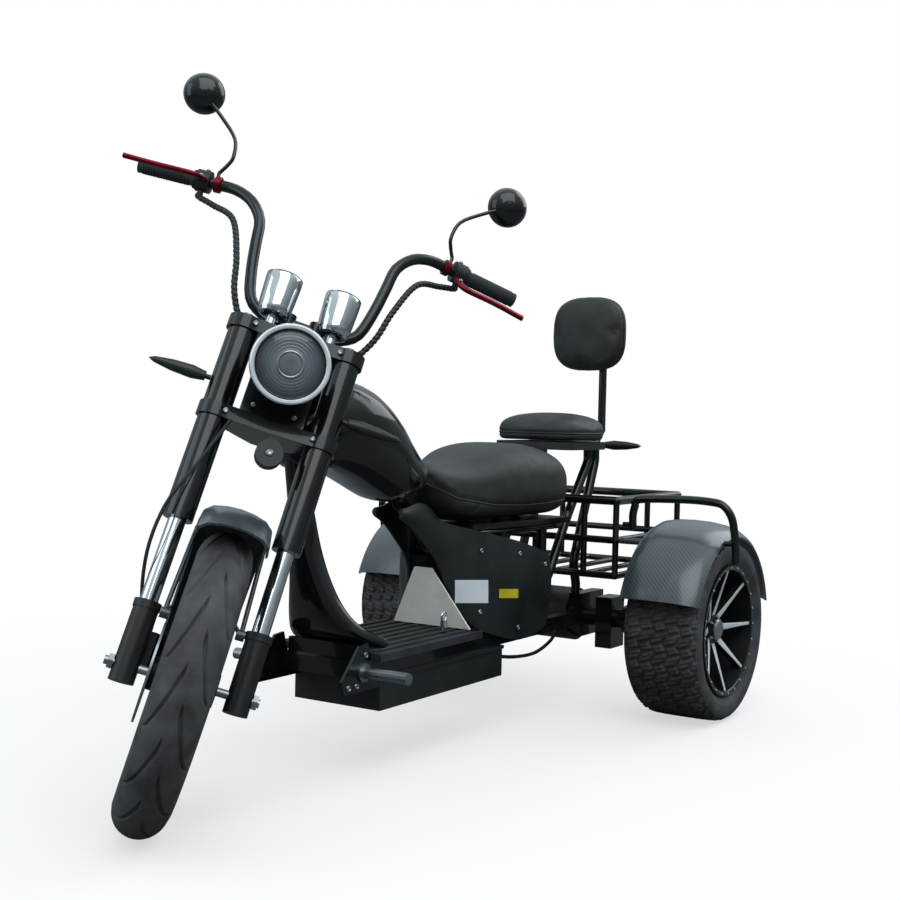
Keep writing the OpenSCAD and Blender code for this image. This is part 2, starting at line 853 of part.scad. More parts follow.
// Cable from the battery box back to the axle
cable_d = 9;
cable_path = [[box_back - fit, 60, 176], [420, 62, 172], [330, 66, 158], [230, 66, 154], [140, 60, 172],
    [92, 50, 194], [motor_d / 2 - 2, 46, 206]];
module rear_cable() {
    color(rubber)
        placed()
            sweep(cable_path, cable_d, 10, 5, [0, 0, 1]);
}

// Clamp outline seen along the fork
clamp_boss = 33;
// columns: ahead of the steering axis, sideways share of the fork half width
clamp_outline = [[-34, 0.2], [-18, 0.45], [22, 1], [76, 1], [70, 0]];
module clamp_plate() {
    difference() {
        union() {
            linear_extrude(clamp_h)
                polygon(concat([for (p = clamp_outline) [p[0], p[1] * fork_half]],
                    [for (i = [len(clamp_outline) - 2 : -1 : 0])
                        [clamp_outline[i][0], -clamp_outline[i][1] * fork_half]]));
            for (s = [-1, 1])
                translate([fork_offset, s * fork_half, 0])
                    cylinder(h = clamp_h, r = clamp_boss);
        }
        for (s = [-1, 1])
            translate([fork_offset, s * fork_half, -clamp_h])
                cylinder(h = 3 * clamp_h, d = stanchion_d + 2 * fit);
    }
}
// Lower clamp with the stem inside the steering head
module lower_clamp() {
    color(black)
        steered() {
            translate([0, 0, lower_clamp_t - clamp_h / 2])
                clamp_plate();
            translate([0, 0, lower_clamp_t])
                cylinder(h = upper_clamp_t - clamp_h / 2 - fit - lower_clamp_t, d = stem_d);
        }
}
// Upper clamp with the two risers that hold the bar
module upper_clamp() {
    color(black)
        steered()
            difference() {
                union() {
                    translate([0, 0, upper_clamp_t - clamp_h / 2])
                        clamp_plate();
                    for (s = [-1, 1])
                        translate([0, s * riser_y, upper_clamp_t])
                            cylinder(h = bar_low + bar_d * 0.8 - upper_clamp_t, d = riser_d);
                }
                rod([0, -fork_half, bar_low], [0, fork_half, bar_low], bar_d + 2 * fit);
            }
}

// Lamp carrier plate between the clamps
carrier_x = 54;
carrier_t = 8;
carrier_half = 62;
carrier_block = [40, 44, 52];
module lamp_carrier() {
    low = lower_clamp_t + clamp_h / 2 + fit;
    high = upper_clamp_t - clamp_h / 2 - fit;
    color(black)
        steered() {
            translate([carrier_x, -carrier_half, low])
                cube([carrier_t, 2 * carrier_half, high - low]);
            translate([carrier_x, -carrier_block[1] / 2, lamp_t - carrier_block[2] / 2])
                cube([lamp_ahead - lamp_back - fit - carrier_x, carrier_block[1], carrier_block[2]]);
        }
}

// Headlamp: bucket, ring and lens along the tilted lamp axis
lamp_back = 72;
// columns: behind the ring plane, radius share
bucket_rows = [[0, 0.93], [20, 0.93], [40, 0.86], [58, 0.66], [68, 0.42], [72, 0.2], [72, 0]];
module lamp_axis() {
    steered()
        translate([lamp_ahead, 0, lamp_t])
            rotate([0, 90 + lamp_tilt, 0])
                children();
}
bucket_wall = 3;
lens_seat = 10;
module headlamp_bucket() {
    color(black)
        difference() {
            lamp_axis()
                difference() {
                    rotate_extrude()
                        polygon(concat([[0, 0]], [for (r = bucket_rows) [lamp_r * r[1], -r[0]]]));
                    translate([0, 0, -lens_seat])
                        cylinder(h = 2 * lens_seat, r = lamp_r * 0.93 - bucket_wall);
                }
            steered()
                translate([0, -carrier_block[1] / 2 - fit, lamp_t - carrier_block[2] / 2 - fit])
                    cube([lamp_ahead - lamp_back, carrier_block[1] + 2 * fit, carrier_block[2] + 2 * fit]);
        }
}
ring_depth = 24;
ring_front = 8;
module headlamp_ring() {
    color(bright)
        lamp_axis()
            rotate_extrude()
                polygon([[lamp_r * 0.93 + fit, -ring_depth], [lamp_r, -ring_depth + 4], [lamp_r, 2],
                    [lamp_r * 0.96, ring_front], [lamp_r * 0.88, ring_front], [lamp_r * 0.86, fit],
                    [lamp_r * 0.93 + fit, fit]]);
}
lens_bulge = 6;
lens_hub_r = 22;
module headlamp_lens() {
    color(grey)
        lamp_axis()
            rotate_extrude()
                polygon([[0, -lens_seat + fit], [lamp_r * 0.93 - bucket_wall - fit, -lens_seat + fit],
                    [lamp_r * 0.93 - bucket_wall - fit, -2], [lamp_r * 0.83, 0],
                    [lamp_r * 0.6, lens_bulge * 0.7], [lens_hub_r, lens_bulge], [lens_hub_r, lens_bulge + 2],
                    [0, lens_bulge + 2]]);
}

// Gauge cups on the upper clamp
gauge_x = 52;
gauge_y = 60;
gauge_rise = 33;
gauge_low = upper_clamp_t + gauge_rise;
gauge_post_d = 20;
// columns: radius and height as shares of the cup's diameter and height
gauge_rows = [[0, 0], [0.3, 0], [0.4, 0.05], [0.45, 0.14], [0.475, 0.4], [0.5, 0.86], [0.5, 0.97], [0.485, 1], [0.44, 1],
    [0.44, 0.9], [0, 0.9]];
module gauges() {
    top = upper_clamp_t + clamp_h / 2 + fit;
    color(bright)
        steered()
            for (s = [-1, 1])
                translate([gauge_x, s * gauge_y, 0]) {
                    translate([0, 0, top])
                        cylinder(h = gauge_low - top + 2, d = gauge_post_d);
                    translate([0, 0, gauge_low])
                        rotate_extrude()
                            polygon([for (r = gauge_rows) [gauge_d * r[0], gauge_h * r[1]]]);
                }
}
module gauge_faces() {
    color(grey)
        steered()
            for (s = [-1, 1])
                translate([gauge_x, s * gauge_y, gauge_low + gauge_h * 0.9 + fit])
                    cylinder(h = gauge_h * 0.06, d = gauge_d * 0.88 - 2 * fit);
}

// Stanchions, covers and legs
module fork_sides() {
    steered()
        for (s = [-1, 1])
            translate([fork_offset, s * fork_half, 0])
                children();
}
stanchion_top = upper_clamp_t + clamp_h / 2 + 6;
module stanchions() {
    color(bright)
        fork_sides()
            translate([0, 0, leg_top + fit])
                cylinder(h = stanchion_top - leg_top, d = stanchion_d);
}
module fork_covers() {
    lower = lower_clamp_t - clamp_h / 2 - fit;
    color(black)
        fork_sides()
            difference() {
                union() {
                    translate([0, 0, cover_bottom])
                        cylinder(h = lower - cover_bottom, d = cover_d);
                    translate([0, 0, head_low])
                        cylinder(h = head_high - head_low, d = cover_d);
                }
                cylinder(h = 2 * upper_clamp_t, d = stanchion_d + 2 * fit);
            }
}
leg_bottom = -30;
spindle_d = 16;
leg_neck = 14;
leg_flare = 1.08;
module fork_legs() {
    color(black)
        fork_sides()
            difference() {
                union() {
                    translate([0, 0, leg_bottom])
                        cylinder(h = leg_top - leg_bottom - leg_neck, d = leg_d);
                    translate([0, 0, leg_top - leg_neck])
                        cylinder(h = leg_neck, d = leg_d * leg_flare);
                }
                translate([0, -leg_d, 0])
                    along_y()
                        cylinder(h = 2 * leg_d, d = spindle_d + 2 * fit);
            }
}
spindle_ends = [-133, 122];
nut_d = 28;
nut_h = 9;
module front_axle() {
    left_face = fork_half + leg_d / 2 + fit;
    color(bright)
        steered()
            translate([fork_offset, 0, 0])
                along_y() {
                    translate([0, 0, spindle_ends[0] - nut_h])
                        cylinder(h = spindle_ends[1] - spindle_ends[0] + 2 * nut_h + 8, d = spindle_d);
                    for (z = [-left_face - nut_h, left_face])
                        translate([0, 0, z])
                            cylinder(h = nut_h, d = nut_d, $fn = 6);
                }
}

// Front fender over the wheel with stays to the legs
front_fender_gap = 22;
front_fender_half = 66;
front_fender_rise = 12;
front_fender_from = 50;
front_fender_to = 165;
front_fender_t = 4;
// columns: out from the fender radius, sideways share
front_fender_rows = [[-26, -1], [-8, -0.95], [4, -0.74], [10, -0.38], [12, 0], [10, 0.38], [4, 0.74], [-8, 0.95], [-26, 1]];
stay_t = 107;
brace_d = 9;
brace_foot_d = 20;
brace_angle = [100, 148];
module front_fender() {
    r = front_tyre_r + front_fender_gap;
    n = len(front_fender_rows);
    leg_y = fork_half - leg_d / 2;
    color(black)
        steered()
            translate([fork_offset, 0, 0]) {
                translate([0, 0, front_fender_rise])
                    along_y()
                        rotate([0, 0, -front_fender_to])
                            rotate_extrude(angle = front_fender_to - front_fender_from, $fn = 2 * round_fn)
                                polygon(concat([for (p = front_fender_rows) [r + p[0], front_fender_half * p[1]]],
                                    [for (i = [n - 1 : -1 : 0]) [r + front_fender_rows[i][0] - front_fender_t,
                                        (front_fender_half - front_fender_t) * front_fender_rows[i][1]]]));
                both_sides() {
                    for (f = brace_angle)
                        rod([0, leg_y - brace_d, stay_t], [(r - brace_foot_d) * cos(f), front_fender_half - 1,
                            front_fender_rise + (r - brace_foot_d) * sin(f)], brace_d);
                    rod([0, leg_y - 2 * brace_d, stay_t], [0, fork_half - leg_d * leg_flare / 2 - fit, stay_t],
                        brace_foot_d);
                }
            }
}
// Caliper and its bracket on the vehicle's right
caliper_at = [-80, 44];
caliper_size = [50, 66];
caliper_b = [-94, -46];
caliper_slot = 15;
disc_b = -62;
disc_t = 4;
module front_caliper() {
    color(black)
        steered()
            translate([fork_offset, 0, 0])
                difference() {
                    union() {
                        translate([caliper_at[0] - caliper_size[0] / 2, caliper_b[0], caliper_at[1] - caliper_size[1] / 2])
                            cube([caliper_size[0], caliper_b[1] - caliper_b[0], caliper_size[1]]);
                        translate([caliper_at[0], -fork_half + 3, caliper_at[1] - 12])
                            cube([-caliper_at[0], 10, 26]);
                    }
                    translate([0, disc_b - caliper_slot / 2, 0])
                        along_y()
                            cylinder(h = caliper_slot, d = disc_d + caliper_slot);
                    translate([0, -fork_half, leg_bottom])
                        cylinder(h = leg_top, d = leg_d + 2 * fit);
                }
}

// Handlebar with its risers
riser_d = 30;
riser_y = 29;
bar_rise = 52;
bar_low = upper_clamp_t + bar_rise;
// columns: ahead, sideways, above the low bar
bar_bends = [[0, 0, 0], [0, 60, 0], [0, 84, 4], [-2, 112, 28], [-6, 128, 86], [-10, 138, 149], [-16, 146, 200],
    [-28, 174, 240], [-46, 212, 261], [-62.4, 250, 266], [-67, 270, 266], [-72, 292, 266]];
bar_rows = [for (r = bar_bends) [r[0], r[1], bar_low + r[2]]];
bar_top = bar_low + bar_bends[len(bar_bends) - 1][2];
bar_end = [-99, bar_half, bar_top];
bar_sides = 14;
bar_steps = 3;
function flip_y(rows) = [for (i = [len(rows) - 1 : -1 : 1]) [rows[i][0], -rows[i][1], rows[i][2]]];
bar_path = concat([[bar_end[0], -bar_end[1], bar_end[2]]], flip_y(bar_rows), bar_rows, [bar_end]);
module handlebar() {
    color(black)
        steered()
            sweep(bar_path, bar_d, bar_sides, bar_steps, [0, 0, 1]);
}

// Pieces on the grip line: child's z runs outward along the left grip, x forward
grip_dir = bar_end - bar_rows[len(bar_rows) - 1];
module grip_line() {
    translate(bar_end)
        rotate([0, 0, atan2(grip_dir[1], grip_dir[0]) - 90])
            along_y()
                children();
}
module on_grip() {
    steered()
        for (s = [0, 1])
            mirror([0, s, 0])
                grip_line()
                    children();
}
module grips() {
    color(rubber)
        on_grip()
            difference() {
                translate([0, 0, -grip_len])
                    cylinder(h = grip_len + 4, d = grip_d);
                translate([0, 0, -2 * grip_len])
                    cylinder(h = 2 * grip_len + fit, d = bar_d + 2 * fit);
            }
}
switch_len = 28;
switch_d = 46;
switch_at = -grip_len - 2;
module switch_housings() {
    color(black)
        on_grip()
            translate([0, 0, switch_at - switch_len])
                difference() {
                    cylinder(h = switch_len, d = switch_d);
                    translate([0, 0, -switch_len])
                        cylinder(h = 3 * switch_len, d = bar_d + 2 * fit);
                }
}
// Wine-red levers ahead of the grips, each turned down about its grip
lever_drop = [50, 18];
lever_t = 10;
lever_ease = 0.4;
// columns: ahead of the root, along the grip from its end, half width
lever_rows = [[0, -136, 11], [18, -136, 10], [33, -126, 9], [37, -104, 7.5], [36, -66, 6.5], [38, -30, 6.5], [42, -4, 6.5],
    [44, 20, 7]];
lever_steps = 3;
function edge(rows, i, s) = let (
    v = unit([for (k = [0, 1]) rows[min(i + 1, len(rows) - 1)][k] - rows[max(i - 1, 0)][k]]))
    [rows[i][0] + s * rows[i][2] * v[1], rows[i][1] - s * rows[i][2] * v[0]];
module brake_levers() {
    rows = smooth_rows(lever_rows, lever_steps);
    last = len(rows) - 1;
    color(wine)
        steered()
            for (s = [0, 1])
                mirror([0, s, 0])
                    grip_line()
                        rotate([0, 0, lever_drop[s]])
                            translate([switch_d / 2 + fit + lever_ease, lever_t / 2, 0])
                                rotate([90, 0, 0])
                                    linear_extrude(lever_t)
                                        polygon(concat([for (i = [0 : last]) edge(rows, i, 1)],
                                            [for (i = [last : -1 : 0]) edge(rows, i, -1)]));
}

// Mirrors on bent stems from the switch housings
// columns: ahead, sideways, above the grips
mirror_bends = [[-63.8, 256, 20], [-63.8, 256, 28], [-56, 246, 46], [-48, 240, 66], [-48, 250, 106], [-50, 290, 144],
    [-50, 341, 182]];
stem_rod_d = 8;
mirror_depth = 30;
mirror_at = [-62, 341, bar_top + 188];
mirror_steps = 4;
stem_sides = 10;
// columns: radius share, depth share
shell_rows = [[0, 1], [0.4, 0.94], [0.72, 0.74], [0.92, 0.42], [1, 0.1], [1, 0]];
module mirrors() {
    color(black)
        steered()
            for (s = [0, 1])
                mirror([0, s, 0]) {
                    translate(mirror_at)
                        rotate([0, 90 + lamp_tilt, 0])
                            rotate_extrude()
                                polygon(concat([[0, 0]], [for (r = shell_rows)
                                    [mirror_d / 2 * r[0], mirror_depth * r[1]]]));
                    sweep(concat([[mirror_bends[0][0], mirror_bends[0][1], bar_top + bar_d / 2 + fit]],
                        [for (r = mirror_bends) [r[0], r[1], bar_top + r[2]]]), stem_rod_d, stem_sides, mirror_steps,
                        [1, 0, 0]);
                }
}

// Front indicators on the fork covers
front_leaf_t = 555;
front_stalk = 8;
module front_indicators() {
    color(black)
        steered()
            both_sides()
                translate([fork_offset, fork_half + cover_d / 2 + fit, front_leaf_t])
                    leaf(front_stalk);
}

// Horn under the lower clamp
horn_at = [66, 16, 437];
horn_d = 52;
horn_t = 26;
module horn() {
    under = lower_clamp_t - clamp_h / 2 - fit;
    color(black)
        steered() {
            translate(horn_at)
                rotate([0, 90, 0])
                    cylinder(h = horn_t, d = horn_d);
            translate([horn_at[0] + 2, horn_at[1] - 10, horn_at[2]])
                cube([6, 20, under - horn_at[2]]);
        }
}

// Cable looms beside the bar uprights
loom_d = 13;
// columns: ahead, sideways, above the low bar
loom_path = [for (r = [[-69, 279, 242.6], [-69, 279, 236], [-69, 279, 229], [-48, 246, 212], [-8, 196, 178],
    [12, 164, 96], [10, 148, 32], [4, 128, -10], [8, 112, -27], [12, 100, -31.9], [17, 88, -31.9],
    [22, 76, -31.9]]) [r[0], r[1], bar_low + r[2]]];
module cable_looms() {
    color(rubber)
        steered()
            for (s = [0, 1])
                mirror([0, s, 0])
                    sweep(loom_path, loom_d, 10, 4, [1, 0, 0]);
}

// Brake hose from the lower clamp to the caliper
hose_d = 7;
hose_path = [[74, -70, lower_clamp_t - clamp_h / 2 - 1], [92, -82, 435], [96, -104, 365], [88, -130, 285],
    [60, -134, 200], [0, -114, 118], [-32, -86, 92], [-34, -86, 78]];
module brake_hose() {
    color(rubber)
        steered()
            sweep(hose_path, hose_d, 8, 5, [0, 1, 0]);
}

// Front wheel, about the spindle
module front_wheel_axis() {
    steered()
        translate([fork_offset, 0, 0])
            along_y()
                children();
}
module front_tyre() {
    color(rubber)
        front_wheel_axis()
            difference() {
                rotate_extrude()
                    translate([front_tyre_r - tyre_round, 0])
                        circle(r = tyre_round, $fn = round_fn);
                translate([0, 0, -front_tyre_w])
                    cylinder(h = 2 * front_tyre_w, r = front_rim_r + fit);
            }
}
front_hub_r = 30;
hub_half = -disc_b - disc_t / 2 - fit;
front_barrel_r = 175;
front_spoke_w = 16;
front_spoke_t = 24;
module front_rim() {
    color(black)
        front_wheel_axis()
            difference() {
                union() {
                    difference() {
                        translate([0, 0, -front_rim_w / 2])
                            cylinder(h = front_rim_w, r = front_rim_r);
                        translate([0, 0, -front_rim_w])
                            cylinder(h = 2 * front_rim_w, r = front_barrel_r);
                    }
                    translate([0, 0, -hub_half])
                        cylinder(h = 2 * hub_half, r = front_hub_r);
                    for (i = [0 : front_spokes - 1])
                        rotate([0, 0, 360 * i / front_spokes])
                            translate([front_hub_r - 4, -front_spoke_w / 2, -front_spoke_t / 2])
                                cube([front_barrel_r - front_hub_r + 8, front_spoke_w, front_spoke_t]);
                }
                translate([0, 0, -front_rim_r])
                    cylinder(h = 2 * front_rim_r, d = spindle_d + 2 * fit);
            }
}
disc_windows = 8;
disc_window_d = 18;
module brake_disc() {
    color(bright)
        front_wheel_axis()
            translate([0, 0, disc_b - disc_t / 2])
                difference() {
                    cylinder(h = disc_t, d = disc_d);
                    translate([0, 0, -disc_t])
                        cylinder(h = 3 * disc_t, d = spindle_d + 14);
                    for (i = [0 : disc_windows - 1])
                        rotate([0, 0, 360 * i / disc_windows])
                            translate([disc_d * 0.29, 0, -disc_t])
                                cylinder(h = 3 * disc_t, d = disc_window_d, $fn = tube_fn);
                }
}

// Rear wheels, outward side along the child's z
module rear_axis(side) {
    placed()
        mirror([0, side, 0])
            translate([0, rear_half, rear_tyre_r])
                along_y()
                    children();
}
// columns: radius share from the rim to the tread, width share
rear_tyre_rows = [[0, 0.43], [0.3, 0.485], [0.52, 0.5], [0.74, 0.488], [0.89, 0.455], [0.965, 0.40], [0.992, 0.28],
    [1, 0.12]];
module rear_tyre(side) {
    grown = rear_tyre_r - rear_rim_r - fit;
    half = [for (r = rear_tyre_rows) [rear_rim_r + fit + grown * r[0], rear_tyre_w * r[1]]];
    color(rubber)
        rear_axis(side)
            rotate_extrude()
                polygon(concat([for (p = half) p],
                    [for (i = [len(half) - 1 : -1 : 0]) [half[i][0], -half[i][1]]]));
}
rear_rim_half = 90;
rear_barrel_r = 151;
rear_hub_r = 36;
rear_hub = [-36, 52];
web_z = [-30, -18];
spoke_w = 11;
spoke_low = 26;
spoke_root = 4;
spoke_tip = 16;
spoke_high = [46, 84];
cap_r = 27;
cap_h = 8;
stub_depth = stub_end - rear_half;
module rear_rim(side) {
    color(black)
        rear_axis(side)
            difference() {
                union() {
                    difference() {
                        translate([0, 0, -rear_rim_half])
                            cylinder(h = 2 * rear_rim_half, r = rear_rim_r);
                        translate([0, 0, -2 * rear_rim_half])
                            cylinder(h = 4 * rear_rim_half, r = rear_barrel_r);
                    }
                    translate([0, 0, web_z[0]])
                        cylinder(h = web_z[1] - web_z[0], r = rear_barrel_r + spoke_root);
                    translate([0, 0, rear_hub[0]])
                        cylinder(h = rear_hub[1] - rear_hub[0], r = rear_hub_r);
                    translate([0, 0, rear_hub[1]])
                        cylinder(h = cap_h, r = cap_r);
                    for (i = [0 : rear_spokes - 1])
                        rotate([0, 0, 360 * i / rear_spokes])
                            translate([0, spoke_w / 2, 0])
                                rotate([90, 0, 0])
                                    linear_extrude(spoke_w)
                                        polygon([[rear_hub_r - spoke_root, spoke_low],
                                            [rear_barrel_r + spoke_root, spoke_high[1] - spoke_tip],
                                            [rear_barrel_r + spoke_root, spoke_high[1]],
                                            [rear_hub_r - spoke_root, spoke_high[0]]]);
                }
                translate([0, 0, -rear_half])
                    cylinder(h = rear_half + stub_depth + fit, d = stub_d + 2 * fit);
            }
}
module rear_tyre_left() {
    rear_tyre(0);
}
module rear_tyre_right() {
    rear_tyre(1);
}
module rear_rim_left() {
    rear_rim(0);
}
module rear_rim_right() {
    rear_rim(1);
}

head_frame();
floor_frame();
gusset_plates();
foot_pegs();
front_shield();
footboard();
battery_box();
battery_lock();
tank_cover();
seat_frame();
electronics_case();
side_panels();
front_panel();
main_seat();
pillion_base();
pillion_seat();
seat_struts();
backrest_post();
backrest_pad();
rear_indicators();
rear_axle();
drive_motor();
rear_rack();
rear_fender_left();
rear_fender_right();
guard_hoops();
rear_cable();
lower_clamp();
upper_clamp();
lamp_carrier();
headlamp_bucket();
headlamp_ring();
headlamp_lens();
gauges();
gauge_faces();
stanchions();
fork_covers();
fork_legs();
front_axle();
front_fender();
front_caliper();
handlebar();
grips();
switch_housings();
brake_levers();
mirrors();
front_indicators();
horn();
cable_looms();
brake_hose();
front_tyre();
front_rim();
brake_disc();
rear_tyre_left();
rear_rim_left();
rear_tyre_right();
rear_rim_right();
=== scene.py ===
"""Looks of an electric tricycle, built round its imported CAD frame."""

import math

import bmesh
import bpy
import numpy as np
from mathutils import Matrix, Vector
from mathutils.bvhtree import BVHTree


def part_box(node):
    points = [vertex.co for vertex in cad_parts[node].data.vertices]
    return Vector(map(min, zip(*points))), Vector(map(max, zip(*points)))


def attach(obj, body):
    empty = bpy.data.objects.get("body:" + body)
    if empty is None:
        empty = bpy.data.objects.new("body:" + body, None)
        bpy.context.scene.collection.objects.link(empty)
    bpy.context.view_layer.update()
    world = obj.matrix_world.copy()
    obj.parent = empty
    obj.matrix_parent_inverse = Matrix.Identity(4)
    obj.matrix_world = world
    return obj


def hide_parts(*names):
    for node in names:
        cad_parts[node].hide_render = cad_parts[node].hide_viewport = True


bl_info = {
    "name": "Electric tricycle",
    "version": (1, 0, 0),
    "blender": (4, 5, 0),
    "location": "3D View > Sidebar > Tricycle",
    "description": "Tyres, seats, finishes and small parts for the electric tricycle",
    "category": "Object",
}

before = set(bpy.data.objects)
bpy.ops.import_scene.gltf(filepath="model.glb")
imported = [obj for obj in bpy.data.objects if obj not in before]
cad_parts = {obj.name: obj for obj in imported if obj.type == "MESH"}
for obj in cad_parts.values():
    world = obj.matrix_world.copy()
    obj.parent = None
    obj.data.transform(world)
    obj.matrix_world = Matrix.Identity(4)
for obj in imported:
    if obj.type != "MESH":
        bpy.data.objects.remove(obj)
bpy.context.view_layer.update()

MM = 0.001
TURN = 2 * math.pi
SIDES = (("left", 1), ("right", -1))
LEFT = np.array((0.0, 1.0, 0.0))

# Steering head: its rake, how far it is turned to the left at rest, its foot, and the directions of the fork
RAKE = math.radians(25)
STEER = math.radians(45)
HEAD = np.array((0.701750, 0.0, 0.250926))
HEAD_AHEAD = np.array((math.cos(RAKE), 0, math.sin(RAKE)))
FORK_UP = np.array((-math.sin(RAKE), 0, math.cos(RAKE)))
AHEAD = math.cos(STEER) * HEAD_AHEAD + math.sin(STEER) * LEFT
RIDER_LEFT = math.cos(STEER) * LEFT - math.sin(STEER) * HEAD_AHEAD
# The lamp and the mirrors look level ahead of the turned fork
LOOK_TILT = math.atan(math.tan(RAKE) * math.cos(STEER))
LOOK = math.cos(LOOK_TILT) * AHEAD - math.sin(LOOK_TILT) * FORK_UP

# Along the fork, in millimetres from the head's foot
LOWER_CLAMP = 493
UPPER_CLAMP = 677
LAMP_T = (LOWER_CLAMP + UPPER_CLAMP) / 2 + 1
GAUGE_LOW = UPPER_CLAMP + 33
GAUGE_HIGH = 86
BAR_LOW = UPPER_CLAMP + 52
BAR_TOP = BAR_LOW + 266
MIRROR_RISE = 188

# Ahead of the steering axis and to the rider's left, in millimetres
FORK_HALF = 103
LAMP_AHEAD = 170
LENS_AHEAD = 174
GAUGE_AHEAD, GAUGE_ASIDE = 52, 60
BAR_END_AHEAD, BAR_END_ASIDE = -99, 410
GRIP_WAY = (-27.0, 118.0, 0.0)
MIRROR_AHEAD, MIRROR_ASIDE = -62, 341
HORN_FACE = (92, 16, 437)
CALIPER_FACE = -94.2
CALIPER_BACK, CALIPER_HIGH = 80, 44

# Wheels and fenders, in millimetres
FORK_OFFSET = 46
FRONT_R = 275
FRONT_HALF = 49.0
FRONT_RIM = 193.3
FRONT_FENDER_R = 307
FENDER_RISE = 12
REAR_R = 226
REAR_RIM = 163.3
REAR_WIDE = 198.0
REAR_HALF = 400
REAR_FENDER_R = 270
# Real tows of carbon are 2 mm wide; they are drawn wider so that the weave shows
CARBON_TOW = 2.8

# The row frame's middle ahead of the rear axle, and the deck's datum, in millimetres
X_MID = 683.7205
DECK_DATUM = 1440

# The floor's half length and its depth under the wheels, in metres
FLOOR_HALF = 30
FLOOR_BELOW = 0.0005

# The photograph's camera: place in metres, yaw, pitch and roll, focal length and middle in pixels
CAMERA_AT = np.array((2.42918, 1.7212, 0.7498))
CAMERA_TURN = (0.5532, 0.0288, 0.0239)
CAMERA_FOCUS = 1326.9
CAMERA_MIDDLE = (497.19, 453.05)
PHOTO_SIZE = 900


def steered(points):
    """Fork frame in millimetres (ahead, rider's left, along the fork) to the row frame in metres."""
    p = np.asarray(points, float) * MM
    return HEAD + p[..., :1] * AHEAD + p[..., 1:2] * RIDER_LEFT + p[..., 2:] * FORK_UP


def chassis(points):
    """Axle frame in millimetres (from the rear axle, left, up) to the row frame in metres."""
    return (np.asarray(points, float) - (X_MID, 0, 0)) * MM


def camera_axes():
    """Right, up and forward of the photograph's camera: yaw and pitch give forward, roll turns the others."""
    yaw, pitch, roll = CAMERA_TURN
    forward = -np.array((math.cos(yaw) * math.cos(pitch), math.sin(yaw) * math.cos(pitch), math.sin(pitch)))
    right = np.cross(forward, (0, 0, 1))
    right /= np.linalg.norm(right)
    up = np.cross(right, forward)
    c, s = math.cos(roll), math.sin(roll)
    return c * right + s * up, c * up - s * right, forward


def side_point(px, py, y):
    """Where the ray of a picture point meets the upright plane at distance y to the left, in metres."""
    right, up, forward = camera_axes()
    aside, down = (px - CAMERA_MIDDLE[0]) / CAMERA_FOCUS, (py - CAMERA_MIDDLE[1]) / CAMERA_FOCUS
    ray = forward + right * aside - up * down
    return CAMERA_AT + ray * (y - CAMERA_AT[1]) / ray[1]


def smooth(rows, steps):
    """Cubic through every row (Catmull-Rom), with that many steps between two rows."""
    p = np.asarray(rows, float)
    p = np.concatenate((p[:1], p, p[-1:]))
    u = (np.arange(steps) / steps)[None, :, None]
    a, b, c, d = (p[k:len(p) - 3 + k][:, None, :] for k in range(4))
    q = 0.5 * (2 * b + (c - a) * u + (2 * a - 5 * b + 4 * c - d) * u**2 + (3 * b - a - 3 * c + d) * u**3)
    return np.concatenate((q.reshape(-1, p.shape[1]), p[-2:-1]))


def grid(points, wrap_rows=False, wrap_cols=False, caps=False):
    """A surface from an array of rows of points: its vertices, four-sided faces, the triangles of the fans
    that close both ends, and the faces' map."""
    rows, cols = points.shape[:2]
    i = np.arange(rows if wrap_rows else rows - 1)[:, None]
    j = np.arange(cols if wrap_cols else cols - 1)[None, :]
    corners = [(i, j), (i, j + 1), (i + 1, j + 1), (i + 1, j)]
    quads = np.stack([(a % rows) * cols + b % cols + 0 * i * j for a, b in corners], -1).reshape(-1, 4)
    uv = np.stack([np.stack((a / rows + 0 * j, b / cols + 0 * i), -1) for a, b in corners], 2).reshape(-1, 2)
    verts = points.reshape(-1, 3)
    tris = np.zeros((0, 3), int)
    if caps:
        k = np.arange(cols)
        ends = np.stack((points[0].mean(0), points[-1].mean(0)))
        first = np.stack((k, np.full(cols, len(verts)), (k + 1) % cols), -1)
        end = (rows - 1) * cols
        last = np.stack((end + k, end + (k + 1) % cols, np.full(cols, len(verts) + 1)), -1)
        verts = np.concatenate((verts, ends))
        tris = np.concatenate((first, last))
    return verts, quads, tris, uv


def piece(name, parts, material, body, hides=(), sharp=40.0):
    """One mesh object from several surfaces, with normals turned outward, riding on a body."""
    start = np.cumsum([0] + [len(p[0]) for p in parts])
    verts = np.concatenate([p[0] for p in parts])
    quads = np.concatenate([p[1] + s for p, s in zip(parts, start)])
    tris = np.concatenate([p[2] + s for p, s in zip(parts, start)])
    uv = np.concatenate([p[3] for p in parts] + [np.zeros((len(tris) * 3, 2))])
    mesh = bpy.data.meshes.new(name)
    mesh.vertices.add(len(verts))
    mesh.vertices.foreach_set("co", verts.astype(np.float32).ravel())
    loops = np.concatenate((quads.ravel(), tris.ravel()))
    mesh.loops.add(len(loops))
    mesh.loops.foreach_set("vertex_index", loops.astype(np.int32))
    total = np.concatenate((np.full(len(quads), 4), np.full(len(tris), 3)))
    mesh.polygons.add(len(total))
    mesh.polygons.foreach_set("loop_start", (np.cumsum(total) - total).astype(np.int32))
    mesh.polygons.foreach_set("loop_total", total.astype(np.int32))
    mesh.update(calc_edges=True)
    layer = mesh.uv_layers.new(name="UVMap")
    layer.data.foreach_set("uv", uv.astype(np.float32).ravel())
    work = bmesh.new()
    work.from_mesh(mesh)
    bmesh.ops.recalc_face_normals(work, faces=work.faces[:])
    work.to_mesh(mesh)
    work.free()
    mesh.polygons.foreach_set("use_smooth", np.ones(len(mesh.polygons), bool))
    mesh.set_sharp_from_angle(angle=math.radians(sharp))
    obj = bpy.data.objects.new(name, mesh)
    bpy.context.scene.collection.objects.link(obj)
    return dress(obj, material, body, hides)


